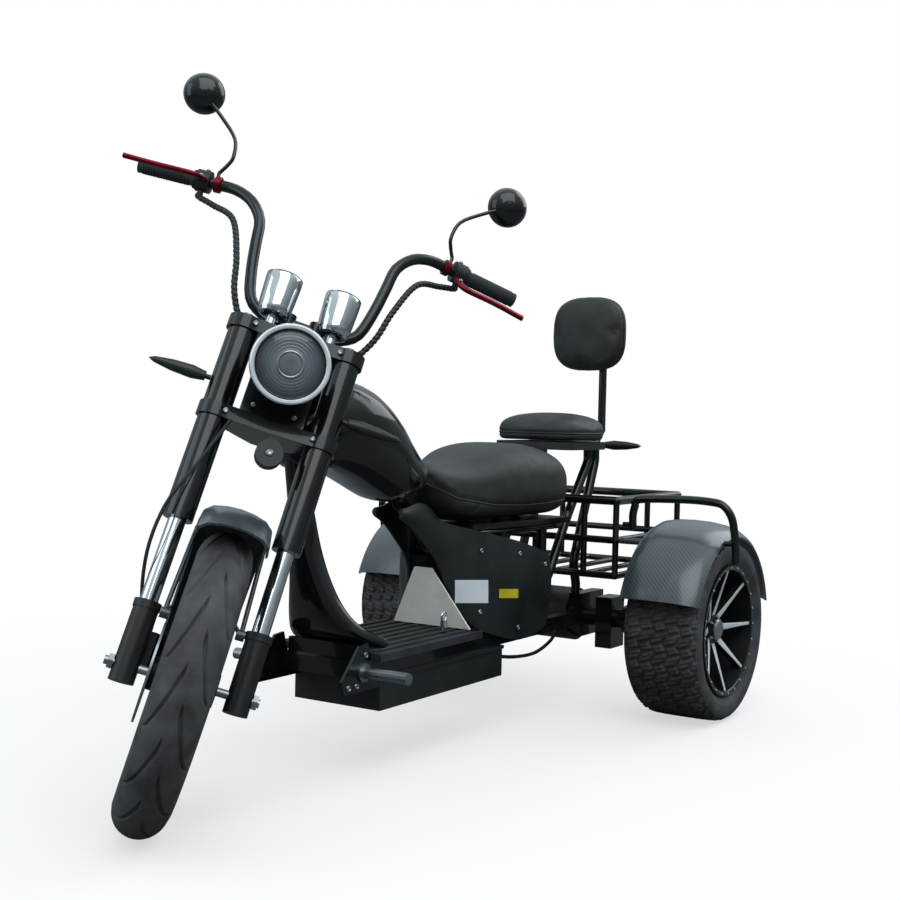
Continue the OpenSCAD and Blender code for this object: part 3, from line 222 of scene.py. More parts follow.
def dress(obj, material, body, hides=()):
    """Gives a piece its material and the body that it rides on."""
    obj.data.materials.clear()
    obj.data.materials.append(material)
    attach(obj, body)
    if hides:
        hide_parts(*hides)
    return obj


def unit(v):
    """Vectors brought to length one, along the last axis."""
    return v / np.linalg.norm(v, axis=-1, keepdims=True)


def angles(count):
    """Even steps round a circle, from zero."""
    return TURN * np.arange(count) / count


def evenly(path, count):
    """Distances in even steps along a path, and the points at those distances."""
    run = np.concatenate(((0,), np.cumsum(np.linalg.norm(np.diff(path, axis=0), axis=1))))
    even = np.linspace(0, run[-1], count)
    return even, np.stack([np.interp(even, run, path[:, k]) for k in range(path.shape[1])], 1)


def square_axes(path, toward):
    """Two directions square to a path at each point: the nearest to a given way, and one square to it."""
    t = unit(np.gradient(path, axis=0))
    toward = np.asarray(toward, float)
    side = unit(toward - (t @ toward)[:, None] * t)
    return side, np.cross(t, side)


def circles(side, up, count):
    """Rings of radius one, from the two directions that each ring lies in."""
    f = angles(count)
    return np.cos(f)[None, :, None] * side[:, None, :] + np.sin(f)[None, :, None] * up[:, None, :]


def tube(path, radius, sides, toward):
    """A round profile carried along a path: each ring lies square to the path and starts at the side toward a
    direction. The radius is given for each point of each ring."""
    ring = circles(*square_axes(path, toward), sides)
    return grid(path[:, None, :] + radius[..., None] * ring, wrap_cols=True, caps=True)


def turned(profile, at, axis, across, steps, closed=False):
    """A profile of (along the axis, radius) in millimetres, turned once about an axis through a point."""
    p = np.asarray(profile, float) * MM
    axis, across = np.asarray(axis, float), np.asarray(across, float)
    f = angles(steps)
    spoke = np.cos(f)[:, None] * across + np.sin(f)[:, None] * np.cross(axis, across)
    points = at + p[:, None, :1] * axis + p[:, None, 1:] * spoke[None]
    return grid(points, wrap_rows=closed, wrap_cols=True, caps=not closed)


# Shares of the head's height and radius, from its seat up and round to the socket
BOLT_PROFILE = np.array(((0, 1.0), (0.55, 1.0), (0.9, 0.86), (1.0, 0.62), (0.82, 0.5), (0.55, 0.42)))


def bolts(places, normal, head_r, head_h):
    """Domed bolt heads: a stepped profile turned about the normal at each place, flat under the head."""
    normal = unit(np.asarray(normal, float))
    across = unit(np.cross(normal, (0.3, 0.5, 0.8)))
    return [turned(BOLT_PROFILE * (head_h, head_r), p, normal, across, 14) for p in np.atleast_2d(places)]


def bolt_piece(name, spots, body):
    """One piece of bolt heads, each spot a place, a normal, a head radius and a head height."""
    parts = [head for place, normal, head_r, head_h in spots for head in bolts(place, normal, head_r, head_h)]
    piece(name, parts, FINISH["steel"], body)


def oval_bar(path, wide, thick, toward, sides=18):
    """A bar with a rounded oblong section (a superellipse of power three) along a path. Half width and half
    thickness are in millimetres, as one number or one for each ring."""
    side, up = square_axes(path, toward)
    f = angles(sides)
    c, s = np.cos(f), np.sin(f)
    rounder = (np.abs(c) ** 3 + np.abs(s) ** 3) ** (-1 / 3)
    wide, thick = (np.broadcast_to(np.multiply(w, MM), len(path))[:, None, None] for w in (wide, thick))
    points = (path[:, None, :] + wide * (c * rounder)[None, :, None] * side[:, None, :]
              + thick * (s * rounder)[None, :, None] * up[:, None, :])
    return grid(points, wrap_cols=True, caps=True)


def linear(colour):
    """An sRGB hex colour as linear light, by the sRGB curve."""
    c = np.array([int(colour[k:k + 2], 16) for k in (1, 3, 5)]) / 255
    low, high = c / 12.92, ((c + 0.055) / 1.055) ** 2.4
    return (*np.where(c <= 0.04045, low, high), 1.0)


def hex_colour(light):
    """Linear light as an sRGB hex colour, the way back from linear."""
    c = [12.92 * v if v <= 0.0031308 else 1.055 * v ** (1 / 2.4) - 0.055 for v in light]
    return "#" + "".join(f"{round(255 * v):02x}" for v in c)


def add(tree, kind, inputs=(), **settings):
    """A node of that kind with its settings, and its inputs as values or as (node, output) links."""
    made = tree.nodes.new(kind)
    for key, value in settings.items():
        setattr(made, key, value)
    for key, value in dict(inputs).items():
        if isinstance(value, tuple) and isinstance(value[0], bpy.types.Node):
            tree.links.new(value[0].outputs[value[1]], made.inputs[key])
        else:
            made.inputs[key].default_value = value
    return made


def start(name):
    """A new material with its shader and the piece's own coordinates."""
    material = bpy.data.materials.new(name)
    material.use_nodes = True
    tree = material.node_tree
    shader = tree.nodes["Principled BSDF"]
    return material, tree, shader, add(tree, "ShaderNodeTexCoord")


def grained(name, dark, light, rough, grain, bump, metallic=0.0, coat=0.0, patch=70.0, voronoi=False,
            stretch=(1, 1, 1)):
    """A finish whose colour drifts over broad patches and whose fine grain moves the roughness and the
    surface. Grain and patch are sizes in millimetres; bump is the grain's height in millimetres."""
    material, tree, shader, coords = start(name)
    shader.inputs["Metallic"].default_value = metallic
    shader.inputs["Coat Weight"].default_value = coat
    shader.inputs["Specular IOR Level"].default_value = 0.22 if coat else 0.5
    shader.inputs["Coat Roughness"].default_value = 0.06
    spread = add(tree, "ShaderNodeMapping", {"Vector": (coords, "Object"), "Scale": stretch})
    broad = add(tree, "ShaderNodeTexNoise", {"Vector": (coords, "Object"), "Scale": 1000 / patch,
                                             "Detail": 4.0})
    if voronoi:
        fine = add(tree, "ShaderNodeTexVoronoi", {"Vector": (spread, 0), "Scale": 1000 / grain},
                   feature="DISTANCE_TO_EDGE")
        height = add(tree, "ShaderNodeMapRange", {"Value": (fine, "Distance"), "From Max": 0.22})
    else:
        fine = add(tree, "ShaderNodeTexNoise", {"Vector": (spread, 0), "Scale": 1000 / grain, "Detail": 3.0})
        height = add(tree, "ShaderNodeMapRange", {"Value": (fine, 0), "From Min": 0.3, "From Max": 0.7})
    drift = add(tree, "ShaderNodeMapRange", {"Value": (broad, 0), "From Min": 0.35, "From Max": 0.65})
    tint = add(tree, "ShaderNodeMix", {0: (drift, 0), 6: linear(dark), 7: linear(light)}, data_type="RGBA")
    both = add(tree, "ShaderNodeMath", {0: (height, 0), 1: (drift, 0)}, operation="ADD")
    sheen = add(tree, "ShaderNodeMapRange", {"Value": (both, 0), "From Max": 2.0, "To Min": rough[0],
                                             "To Max": rough[1]})
    relief = add(tree, "ShaderNodeBump", {"Height": (height, 0), "Distance": bump * MM, "Strength": 1.0})
    tree.links.new(tint.outputs[2], shader.inputs["Base Color"])
    tree.links.new(sheen.outputs[0], shader.inputs["Roughness"])
    tree.links.new(relief.outputs[0], shader.inputs["Normal"])
    return material


def carbon(name, at, turn, radius, tow):
    """Woven carbon sheet under clear lacquer: a two-and-two twill, counted in tows by the angle about the
    wheel and by the distance across. Crossing tows shine by turns through painted sheen in the base colour:
    tows on top are painted lighter than those under them, and each tow is painted lighter along its middle
    and darker at its edges, as painted shade between tows."""
    material, tree, shader, coords = start(name)
    shader.inputs["Coat Weight"].default_value = 1.0
    shader.inputs["Coat Roughness"].default_value = 0.2
    matrix = Matrix(turn).transposed()
    move = -(matrix @ Vector(at))
    local = add(tree, "ShaderNodeMapping", {"Vector": (coords, "Object"), "Location": move,
                                            "Rotation": matrix.to_euler("XYZ")})
    axes = add(tree, "ShaderNodeSeparateXYZ", {0: (local, 0)})
    angle = add(tree, "ShaderNodeMath", {0: (axes, 2), 1: (axes, 0)}, operation="ARCTAN2")
    along = add(tree, "ShaderNodeMath", {0: (angle, 0), 1: radius / tow}, operation="MULTIPLY")
    across = add(tree, "ShaderNodeMath", {0: (axes, 1), 1: 1 / (tow * MM)}, operation="MULTIPLY")
    whole = [add(tree, "ShaderNodeMath", {0: (x, 0)}, operation="FLOOR") for x in (along, across)]
    part = [add(tree, "ShaderNodeMath", {0: (x, 0), 1: 1.0}, operation="FLOORED_MODULO")
            for x in (along, across)]
    step = add(tree, "ShaderNodeMath", {0: (whole[0], 0), 1: (whole[1], 0)}, operation="ADD")
    cell = add(tree, "ShaderNodeMath", {0: (step, 0), 1: 4.0}, operation="FLOORED_MODULO")
    over = add(tree, "ShaderNodeMath", {0: (cell, 0), 1: 1.5}, operation="GREATER_THAN")
    dome = [add(tree, "ShaderNodeMath", {0: (x, 0), 1: math.pi}, operation="MULTIPLY") for x in part]
    dome = [add(tree, "ShaderNodeMath", {0: (x, 0)}, operation="SINE") for x in dome]
    height = add(tree, "ShaderNodeMix", {0: (over, 0), 2: (dome[0], 0), 3: (dome[1], 0)}, data_type="FLOAT")
    # Painted sheen and painted shade: tows on top are lighter, and each tow darkens towards its edges
    shade = add(tree, "ShaderNodeMapRange", {"Value": (over, 0), "To Min": 0.25, "To Max": 1.0})
    lit = add(tree, "ShaderNodeMath", {0: (shade, 0), 1: (height, 0)}, operation="MULTIPLY")
    # The paler colour is painted sheen on the tows, the darker one painted shade
    tint = add(tree, "ShaderNodeMix", {0: (lit, 0), 6: linear("#232a2e"), 7: linear("#4b565d")},
               data_type="RGBA")
    relief = add(tree, "ShaderNodeBump", {"Height": (height, 0), "Distance": 0.25 * MM, "Strength": 0.6})
    shader.inputs["Roughness"].default_value = 0.34
    tree.links.new(tint.outputs[2], shader.inputs["Base Color"])
    tree.links.new(relief.outputs[0], shader.inputs["Normal"])
    return material


def dusty_rubber(name):
    """Moulded tyre rubber: dark grey, paler and drier where road dust lies, with faint mould grain."""
    return grained(name, "#303133", "#4b4d4f", (0.5, 0.78), 1.6, 0.18, patch=45)


def lamp_face(name, at):
    """Dark clear lens: flutes as rings about the lamp's middle, in the bump, behind a smooth coat. Its colour
    is paler in the middle, a painted reflection of the reflector behind the lens."""
    material, tree, shader, coords = start(name)
    shader.inputs["Roughness"].default_value = 0.16
    shader.inputs["Coat Weight"].default_value = 1.0
    shader.inputs["Coat Roughness"].default_value = 0.03
    away = add(tree, "ShaderNodeVectorMath", {0: (coords, "Object"), 1: tuple(at)}, operation="SUBTRACT")
    far = add(tree, "ShaderNodeVectorMath", {0: (away, 0)}, operation="LENGTH")
    rings = add(tree, "ShaderNodeMath", {0: (far, "Value"), 1: TURN / (6 * MM)}, operation="MULTIPLY")
    wave = add(tree, "ShaderNodeMath", {0: (rings, 0)}, operation="SINE")
    relief = add(tree, "ShaderNodeBump", {"Height": (wave, 0), "Distance": 0.4 * MM, "Strength": 0.7})
    # Paler in the middle and darker outward: painted reflection of the reflector behind the lens
    tint = add(tree, "ShaderNodeMapRange", {"Value": (far, "Value"), "From Min": 0.02, "From Max": 0.064})
    mix = add(tree, "ShaderNodeMix", {0: (tint, 0), 6: linear("#79828a"), 7: linear("#2b3136")},
              data_type="RGBA")
    tree.links.new(mix.outputs[2], shader.inputs["Base Color"])
    tree.links.new(relief.outputs[0], shader.inputs["Normal"])
    return material


FINISH = {}


def make_finishes(colours):
    """All finishes of the tricycle, from the colours in the panel."""
    tone = {k: hex_colour(getattr(colours, k)) for k in ("paint", "vinyl", "lever", "plate")}
    wheel_turn = np.stack((AHEAD, RIDER_LEFT, FORK_UP), 1).tolist()
    fender_middle = steered((FORK_OFFSET, 0, FENDER_RISE))
    FINISH.update(
        # Stoved paint under lacquer on welded tube: deep black with crisp, slightly wavy highlights
        paint=grained("gloss_black_paint_on_steel", tone["paint"], "#11181b", (0.16, 0.3), 2.5, 0.012,
                      coat=0.55),
        # Moulded ABS, lacquered: the smoothest black, with broad soft mirrorings
        cover=grained("gloss_black_abs_cover", "#090d0f", "#0f1518", (0.1, 0.2), 9.0, 0.02, coat=0.7,
                      patch=160),
        # Moulded plastic with an etched mould face: even grey-black without sharp highlights
        satin=grained("satin_moulded_plastic", "#14191b", "#1c2326", (0.34, 0.5), 0.9, 0.05),
        # Sand-cast alloy under paint: small dents scatter the light
        cast=grained("black_painted_cast_alloy", "#0d1012", "#171b1e", (0.36, 0.55), 1.4, 0.09),
        # Polished and plated: mirrors its surroundings
        chrome=grained("polished_chrome", "#c4cace", "#dde2e5", (0.04, 0.1), 6.0, 0.004, metallic=1.0),
        # Zinc plating: dull bright grey with a cloudy sheen
        steel=grained("zinc_plated_steel", "#8b9094", "#b3b8bb", (0.24, 0.42), 0.8, 0.02, metallic=1.0),
        # Turned and clear-coated aluminium: near white, half matt
        machined=grained("machined_aluminium", "#e6eaec", "#f6f8f9", (0.22, 0.36), 0.5, 0.01, metallic=0.35),
        # Sheet brushed one way, with fine streaks; its pale colour is painted reflection of the bright ground
        # in the panel
        plate=grained("brushed_plate_painted_reflection", tone["plate"], "#f2f0ea", (0.36, 0.5), 0.8, 0.02,
                      stretch=(1, 14, 1)),
        # Calendered vinyl with a pressed leather grain: small cells with a soft sheen
        vinyl=grained("grained_black_vinyl", tone["vinyl"], "#2a2e30", (0.38, 0.56), 2.2, 0.16, voronoi=True),
        # Extruded vinyl bead: as the cover, without its grain
        piping=grained("smooth_vinyl_piping", "#1a1d1f", "#26292b", (0.35, 0.5), 1.0, 0.04),
        # Moulded rubber: dull and a little dusty
        rubber=grained("moulded_rubber_matting", "#1b1e20", "#2c3033", (0.55, 0.8), 0.8, 0.08),
        tyre=dusty_rubber("moulded_tyre_rubber"),
        # Extruded polythene: black with a waxy sheen
        wrap=grained("spiral_wrap_polythene", "#14181a", "#262b2e", (0.35, 0.55), 1.2, 0.04),
        # Dyed oxide on polished alloy: dark red that shines as metal
        wine=grained("wine_red_anodised_alloy", tone["lever"], "#8a1526", (0.2, 0.34), 0.7, 0.01,
                     metallic=0.85),
        # Blank printed film: flat white or yellow with a faint gloss
        label=grained("white_label_vinyl", "#dbe3ea", "#eef2f5", (0.3, 0.45), 3.0, 0.01),
        tag=grained("yellow_label_vinyl", "#c9b21c", "#dac62e", (0.3, 0.45), 3.0, 0.01),
        # Silvered float glass: a clear mirror
        glass=grained("silvered_mirror_glass", "#aab4b8", "#b9c2c6", (0.02, 0.05), 20.0, 0.001, metallic=1.0),
        # Painted dial under clear glass, and the white paint of its marks
        dial=grained("black_dial_face", "#0c0e10", "#15181b", (0.3, 0.4), 1.0, 0.01, coat=1.0),
        print=grained("white_dial_print", "#d9dcdc", "#eceeee", (0.4, 0.5), 1.0, 0.01),
        carbon_rear=carbon("carbon_weave_rear", chassis((0, 0, REAR_R)), np.eye(3).tolist(), REAR_FENDER_R,
                           CARBON_TOW),
        carbon_front=carbon("carbon_weave_front", fender_middle, wheel_turn, FRONT_FENDER_R, CARBON_TOW),
        lens=lamp_face("fluted_dark_lens", steered((LENS_AHEAD, 0, LAMP_T))),
    )


NODE_FINISH = {
    "paint": "head_frame floor_frame gusset_plates seat_frame seat_struts backrest_post rear_axle rear_rack"
             " guard_hoops lower_clamp upper_clamp lamp_carrier handlebar",
    "cover": "front_shield tank_cover fork_covers headlamp_bucket mirrors",
    "satin": "side_panels battery_box pillion_base electronics_case switch_housings horn rear_indicators"
             " front_indicators",
    "cast": "fork_legs front_caliper front_rim rear_rim_left rear_rim_right drive_motor",
    "chrome": "headlamp_ring gauges stanchions battery_lock",
    "steel": "front_axle brake_disc foot_pegs",
    # The front panel's pale finish is painted reflection of the bright ground
    "plate": "front_panel",
    "vinyl": "main_seat pillion_seat backrest_pad",
    "rubber": "footboard grips brake_hose rear_cable cable_looms",
    "tyre": "front_tyre rear_tyre_left rear_tyre_right",
    "lens": "headlamp_lens",
    "dial": "gauge_faces",
    "wine": "brake_levers",
    "carbon_rear": "rear_fender_left rear_fender_right",
    "carbon_front": "front_fender",
}


class TricycleSizes(bpy.types.PropertyGroup):
    """Sizes of the pieces that are made here."""
    front_groove: bpy.props.FloatProperty(
        name="Front groove depth", description="Depth of the front tread grooves",
        default=0.005, min=0.001, max=0.008, unit="LENGTH")
    rear_groove: bpy.props.FloatProperty(
        name="Rear groove depth", description="Depth of the rear tread grooves",
        default=0.0065, min=0.001, max=0.01, unit="LENGTH")
    pad_swell: bpy.props.FloatProperty(
        name="Pad swell", description="How far a seat cover may swell",
        default=0.006, min=0.001, max=0.02, unit="LENGTH")
    seam: bpy.props.FloatProperty(
        name="Piping radius", description="Radius of the piping along the seat seams",
        default=0.0026, min=0.001, max=0.006, unit="LENGTH")
    wrap_pitch: bpy.props.FloatProperty(
        name="Wrap pitch", description="Distance between turns of the spiral wrap",
        default=0.011, min=0.004, max=0.03, unit="LENGTH")


class TricycleColours(bpy.types.PropertyGroup):
    """Colours that a user would change."""
    paint: bpy.props.FloatVectorProperty(
        name="Frame paint", description="Colour of the frame paint", size=3,
        subtype="COLOR", default=linear("#0a0e10")[:3], min=0, max=1)
    vinyl: bpy.props.FloatVectorProperty(
        name="Seat vinyl", description="Colour of the seat covers", size=3,
        subtype="COLOR", default=linear("#1c1f21")[:3], min=0, max=1)
    lever: bpy.props.FloatVectorProperty(
        name="Levers", description="Colour of the anodised levers", size=3,
        subtype="COLOR", default=linear("#6a0f1d")[:3], min=0, max=1)
    # The plate's pale default colour is painted reflection of the bright ground in the panel
    plate: bpy.props.FloatVectorProperty(
        name="Inclined plate", description="Colour of the plate under the saddle", size=3,
        subtype="COLOR", default=linear("#e6e3da")[:3], min=0, max=1)


def soft_step(low, high, x):
    """Rises smoothly from 0 at low to 1 at high."""
    t = np.clip((x - low) / (high - low), 0, 1)
    return t * t * (3 - 2 * t)


def place_camera(scene):
    """A camera at the photograph's place, with its focal length and its middle point."""
    right, up, forward = camera_axes()
    lens = bpy.data.cameras.new("view")
    lens.sensor_width = 36
    lens.lens = CAMERA_FOCUS * lens.sensor_width / PHOTO_SIZE
    lens.shift_x = (PHOTO_SIZE / 2 - CAMERA_MIDDLE[0]) / PHOTO_SIZE
    lens.shift_y = (CAMERA_MIDDLE[1] - PHOTO_SIZE / 2) / PHOTO_SIZE
    camera = bpy.data.objects.new("view", lens)
    turn = Matrix(np.stack((right, up, -forward), 1).tolist()).to_4x4()
    camera.matrix_world = Matrix.Translation(CAMERA_AT.tolist()) @ turn
    scene.collection.objects.link(camera)
    scene.camera = camera


def seen_directly(tree):
    """One for rays from the camera, also through glass, and zero for rays that light or mirror."""
    path = add(tree, "ShaderNodeLightPath")
    return add(tree, "ShaderNodeMath", {0: (path, "Is Camera Ray"), 1: (path, "Is Transmission Ray")},
               operation="MAXIMUM")


def surround_with_white(scene):
    """White to the camera; to the object a studio that is dim at the horizon and bright overhead."""
    world = bpy.data.worlds.new("studio")
    scene.world = world
    world.use_nodes = True
    tree = world.node_tree
    seen = seen_directly(tree)
    way = add(tree, "ShaderNodeTexCoord")
    axes = add(tree, "ShaderNodeSeparateXYZ", {0: (way, "Generated")})
    rise = add(tree, "ShaderNodeMapRange", {"Value": (axes, 2), "From Min": 0.0, "From Max": 0.85,
                                            "To Min": 0.26, "To Max": 0.9}, interpolation_type="SMOOTHSTEP")
    level = add(tree, "ShaderNodeMix", {0: (seen, 0), 2: (rise, 0), 3: 1.0}, data_type="FLOAT")
    tone = add(tree, "ShaderNodeMix", {0: (seen, 0), 6: linear("#e6f2f8"), 7: (1, 1, 1, 1)}, data_type="RGBA")
    back = tree.nodes["Background"]
    tree.links.new(tone.outputs[2], back.inputs["Color"])
    tree.links.new(level.outputs[0], back.inputs["Strength"])


# Name, place and size in metres, power in watts, colour
STUDIO_LAMPS = (
    ("key", (2.2, 2.6, 4.6), 4.6, 130, "#f6fbff"),
    ("fill", (4.6, -3.0, 2.8), 4.0, 60, "#edf6ff"),
    ("rim", (-3.8, 1.8, 3.6), 3.6, 70, "#f3f9ff"),
)
LIT_POINT = Vector((0, 0, 0.5))


def hang_lamps(scene):
    """Three large square lamps, all aimed at the middle of the tricycle."""
    for name, at, size, power, tone in STUDIO_LAMPS:
        lamp = bpy.data.lights.new(name, "AREA")
        lamp.size = size
        lamp.energy = power
        lamp.color = linear(tone)[:3]
        obj = bpy.data.objects.new(name, lamp)
        obj.location = at
        obj.rotation_mode = "QUATERNION"
        obj.rotation_quaternion = (LIT_POINT - Vector(at)).to_track_quat("-Z", "Y")
        scene.collection.objects.link(obj)


def lay_floor(scene):
    """A flat floor that keeps the shadow near the tricycle and fades into the white further out. To rays that
    light or mirror it is a mid grey."""
    material, tree, shader, coords = start("pale_studio_floor")
    shader.inputs["Roughness"].default_value = 0.9
    shader.inputs["Specular IOR Level"].default_value = 0.1
    speck = add(tree, "ShaderNodeTexNoise", {"Vector": (coords, "Object"), "Scale": 3.0})
    tint = add(tree, "ShaderNodeMix", {0: (speck, 0), 6: linear("#f4f4f3"), 7: linear("#f8f8f7")},
               data_type="RGBA")
    far = add(tree, "ShaderNodeVectorMath", {0: (coords, "Object")}, operation="LENGTH")
    fade = add(tree, "ShaderNodeMapRange", {"Value": (far, "Value"), "From Min": 0.9, "From Max": 2.4,
                                            "To Min": 0.6}, interpolation_type="SMOOTHSTEP")
    seen = seen_directly(tree)
    ground = add(tree, "ShaderNodeMix", {0: (seen, 0), 6: linear("#6f7375"), 7: (tint, 2)}, data_type="RGBA")
    tree.links.new(ground.outputs[2], shader.inputs["Base Color"])
    share = add(tree, "ShaderNodeMath", {0: (fade, 0), 1: (seen, 0)}, operation="MULTIPLY")
    glow = add(tree, "ShaderNodeEmission", {"Color": (1, 1, 1, 1), "Strength": 1.0})
    both = add(tree, "ShaderNodeMixShader", {0: (share, 0), 1: (shader, 0), 2: (glow, 0)})
    tree.links.new(both.outputs[0], tree.nodes["Material Output"].inputs["Surface"])
    side = np.linspace(-FLOOR_HALF, FLOOR_HALF, 7)
    x, y = np.meshgrid(side, side, indexing="ij")
    verts, quads, _, _ = grid(np.stack((x, y, 0 * x - FLOOR_BELOW), -1))
    mesh = bpy.data.meshes.new("floor")
    mesh.from_pydata(verts.tolist(), [], quads[:, ::-1].tolist())
    mesh.materials.append(material)
    floor = bpy.data.objects.new("floor", mesh)
    scene.collection.objects.link(floor)


class TRIKE_OT_stage(bpy.types.Operator):
    """Camera at the photograph's place, pale floor and soft studio light"""
    bl_idname = "trike.stage"
    bl_label = "Stage"

    def execute(self, context):
        scene = context.scene
        scene.view_settings.view_transform = "Standard"
        place_camera(scene)
        surround_with_white(scene)
        hang_lamps(scene)
        lay_floor(scene)
        return {"FINISHED"}


SMOOTHED = {
    "chassis": "tank_cover front_shield guard_hoops rear_fender_left rear_fender_right side_panels rear_rack"
               " seat_struts head_frame backrest_post drive_motor",
    "steering": "handlebar gauges headlamp_ring headlamp_bucket headlamp_lens mirrors fork_covers stanchions"
                " fork_legs front_fender front_indicators lower_clamp upper_clamp horn",
}
# Edges flatter than this, in degrees, are shaded smoothly
SMOOTH_ANGLE = 32


def soften(mesh, angle):
    """Joins a solid's facets and shades it smoothly over edges flatter than an angle; no point moves."""
    work = bmesh.new()
    work.from_mesh(mesh)
    bmesh.ops.remove_doubles(work, verts=work.verts[:], dist=1e-6)
    work.to_mesh(mesh)
    work.free()
    if "custom_normal" in mesh.attributes:
        mesh.attributes.remove(mesh.attributes["custom_normal"])
    mesh.polygons.foreach_set("use_smooth", np.ones(len(mesh.polygons), bool))
    mesh.set_sharp_from_angle(angle=math.radians(angle))


class TRIKE_OT_finishes(bpy.types.Operator):
    """Finishes on the solid parts of the frame"""
    bl_idname = "trike.finishes"
    bl_label = "Finishes"

    def execute(self, context):
        make_finishes(context.scene.trike_colours)
        for key, names in NODE_FINISH.items():
            for name in names.split():
                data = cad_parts[name].data
                data.materials.clear()
                data.materials.append(FINISH[key])
        return {"FINISHED"}


class TRIKE_OT_smooth_covers(bpy.types.Operator):
    """Round covers and tubes, shaded smoothly in place of the facets of their solids"""
    bl_idname = "trike.smooth_covers"
    bl_label = "Smooth covers"

    def execute(self, context):
        key_of = {name: key for key, names in NODE_FINISH.items() for name in names.split()}
        for body, names in SMOOTHED.items():
            for name in names.split():
                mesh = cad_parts[name].data.copy()
                mesh.name = f"{name}_smooth"
                soften(mesh, SMOOTH_ANGLE)
                obj = bpy.data.objects.new(f"{name}_smooth", mesh)
                context.scene.collection.objects.link(obj)
                key = key_of[name]
                dress(obj, FINISH[key], body, [name])
        return {"FINISHED"}


class TRIKE_OT_front_tyre(bpy.types.Operator):
    """Round front tyre: a circle turned about the axle, with long curved grooves cut into both shoulders"""
    bl_idname = "trike.front_tyre"
    bl_label = "Front tyre"
    around, across, pitches = 880, 112, 14
    # Angle from the crown where a groove starts and how far it runs, its sweep in pitches and its bend
    groove_from, groove_run, sweep, bend = 0.10, 1.02, 0.95, 1.6
    # A rib on each flank: its angle from the crown in degrees and its height in millimetres
    flank_rib_at, flank_rib_high = 86, 0.9

    def execute(self, context):
        depth = context.scene.trike_sizes.front_groove / MM
        middle = FRONT_R - FRONT_HALF
        last = math.acos((FRONT_RIM - middle) / FRONT_HALF)
        a = angles(self.around)[:, None]
        # Most columns lie on the tread, where the grooves are
        f = np.interp(np.linspace(-1, 1, self.across), (-1, -0.8, 0.8, 1), (-last, -1.2, 1.2, last))[None, :]
        out = np.abs(f)
        share = np.clip((out - self.groove_from) / self.groove_run, 0, 1)
        pitch = TURN / self.pitches
        lean = self.sweep * pitch * (1 - share) ** self.bend
        shift = np.where(f > 0, 0.5, 0.0) * pitch
        near = ((a - lean - shift + pitch / 2) % pitch) - pitch / 2
        # The distance round the tyre, made square to the slanting groove
        slope = FRONT_R * self.sweep * self.bend * pitch * (1 - share) ** (self.bend - 1)
        gap = np.abs(near) * FRONT_R * FRONT_HALF / np.hypot(FRONT_HALF, slope)
        wide = 3.3 - 0.9 * share
        groove = 1 - soft_step(wide - 1.1, wide + 0.5, gap)
        groove = groove * soft_step(0.1, 0.2, out) * (1 - soft_step(1.02, 1.16, out))
        rib = (1 - soft_step(0.7, 1.3, np.abs(np.degrees(out) - self.flank_rib_at))) * self.flank_rib_high
        r = FRONT_HALF - depth * groove + rib
        radius = middle + r * np.cos(f)
        points = np.stack((FORK_OFFSET + radius * np.cos(a), r * np.sin(f) + 0 * a, radius * np.sin(a)), -1)
        piece("front_tyre_treaded", [grid(steered(points), True, True)], FINISH["tyre"],
              "front_wheel", ["front_tyre"], sharp=60)
        return {"FINISHED"}


class TRIKE_OT_rear_tyres(bpy.types.Operator):
    """Wide rear tyres: a profile turned about the axle, with staggered blocks between wavy grooves"""
    bl_idname = "trike.rear_tyres"
    bl_label = "Rear tyres"
    around, across = 780, 122
    # Millimetres between long grooves and of their wave, waves and blocks round the tyre
    rib_wide, wave_high, waves, blocks = 34, 6, 27, 54
    # Shares of the tyre's height and of its width, from the rim's edge to the crown
    shares = ((0, 0.43), (0.3, 0.485), (0.52, 0.5), (0.74, 0.488), (0.89, 0.455), (0.965, 0.40),
              (0.992, 0.28), (1, 0.12))

    def execute(self, context):
        depth = context.scene.trike_sizes.rear_groove / MM
        high = REAR_R - REAR_RIM
        half = np.array([(REAR_RIM + high * r, REAR_WIDE * w) for r, w in self.shares])
        even, curve = evenly(smooth(np.concatenate((half, half[::-1] * (1, -1))), 8), self.across)
        radius, y = curve[None, :, 0], curve[None, :, 1]
        lay = (even - even[-1] / 2)[None, :]
        a = angles(self.around)[:, None]
        s = a / TURN
        wave = lay + self.wave_high * np.sin(TURN * self.waves * s)
        row = np.floor(wave / self.rib_wide + 0.5)
        rib = np.abs(wave / self.rib_wide - row) * self.rib_wide
        long_cut = soft_step(12.4, 14.6, rib)
        spot = (self.blocks * s + 0.5 * (np.abs(row) % 2) + 0.012 * lay) % 1
        cross_cut = 1 - soft_step(0.12, 0.2, np.abs(spot - 0.5))
        fine_cut = (1 - soft_step(0.02, 0.07, np.minimum(spot, 1 - spot))) * (rib < 9) * 0.35
        tread = soft_step(REAR_RIM + 0.80 * high, REAR_RIM + 0.9 * high, radius)
        # One raised ring on each flank
        ring = 1.1 * (1 - soft_step(0.8, 2.2, np.abs(radius - (REAR_RIM + 22)))) * (1 - tread)
        r = radius - depth * np.maximum(np.maximum(long_cut, cross_cut), fine_cut) * tread
        for name, sign in SIDES:
            bulge = sign * (REAR_HALF + y + ring * np.sign(y))
            points = np.stack((r * np.cos(a), bulge + 0 * a, REAR_R + r * np.sin(a)), -1)
            piece(f"rear_tyre_{name}_treaded", [grid(chassis(points), True, True)], FINISH["tyre"],
                  f"rear_{name}_wheel", [f"rear_tyre_{name}"], sharp=60)
        return {"FINISHED"}


def wheel_ring(radius, along, axis, turns):
    """Places on a circle about a rear wheel's axle, in millimetres from the wheel's middle."""
    return radius * np.stack((np.cos(turns), 0 * turns, np.sin(turns)), 1) + along * axis


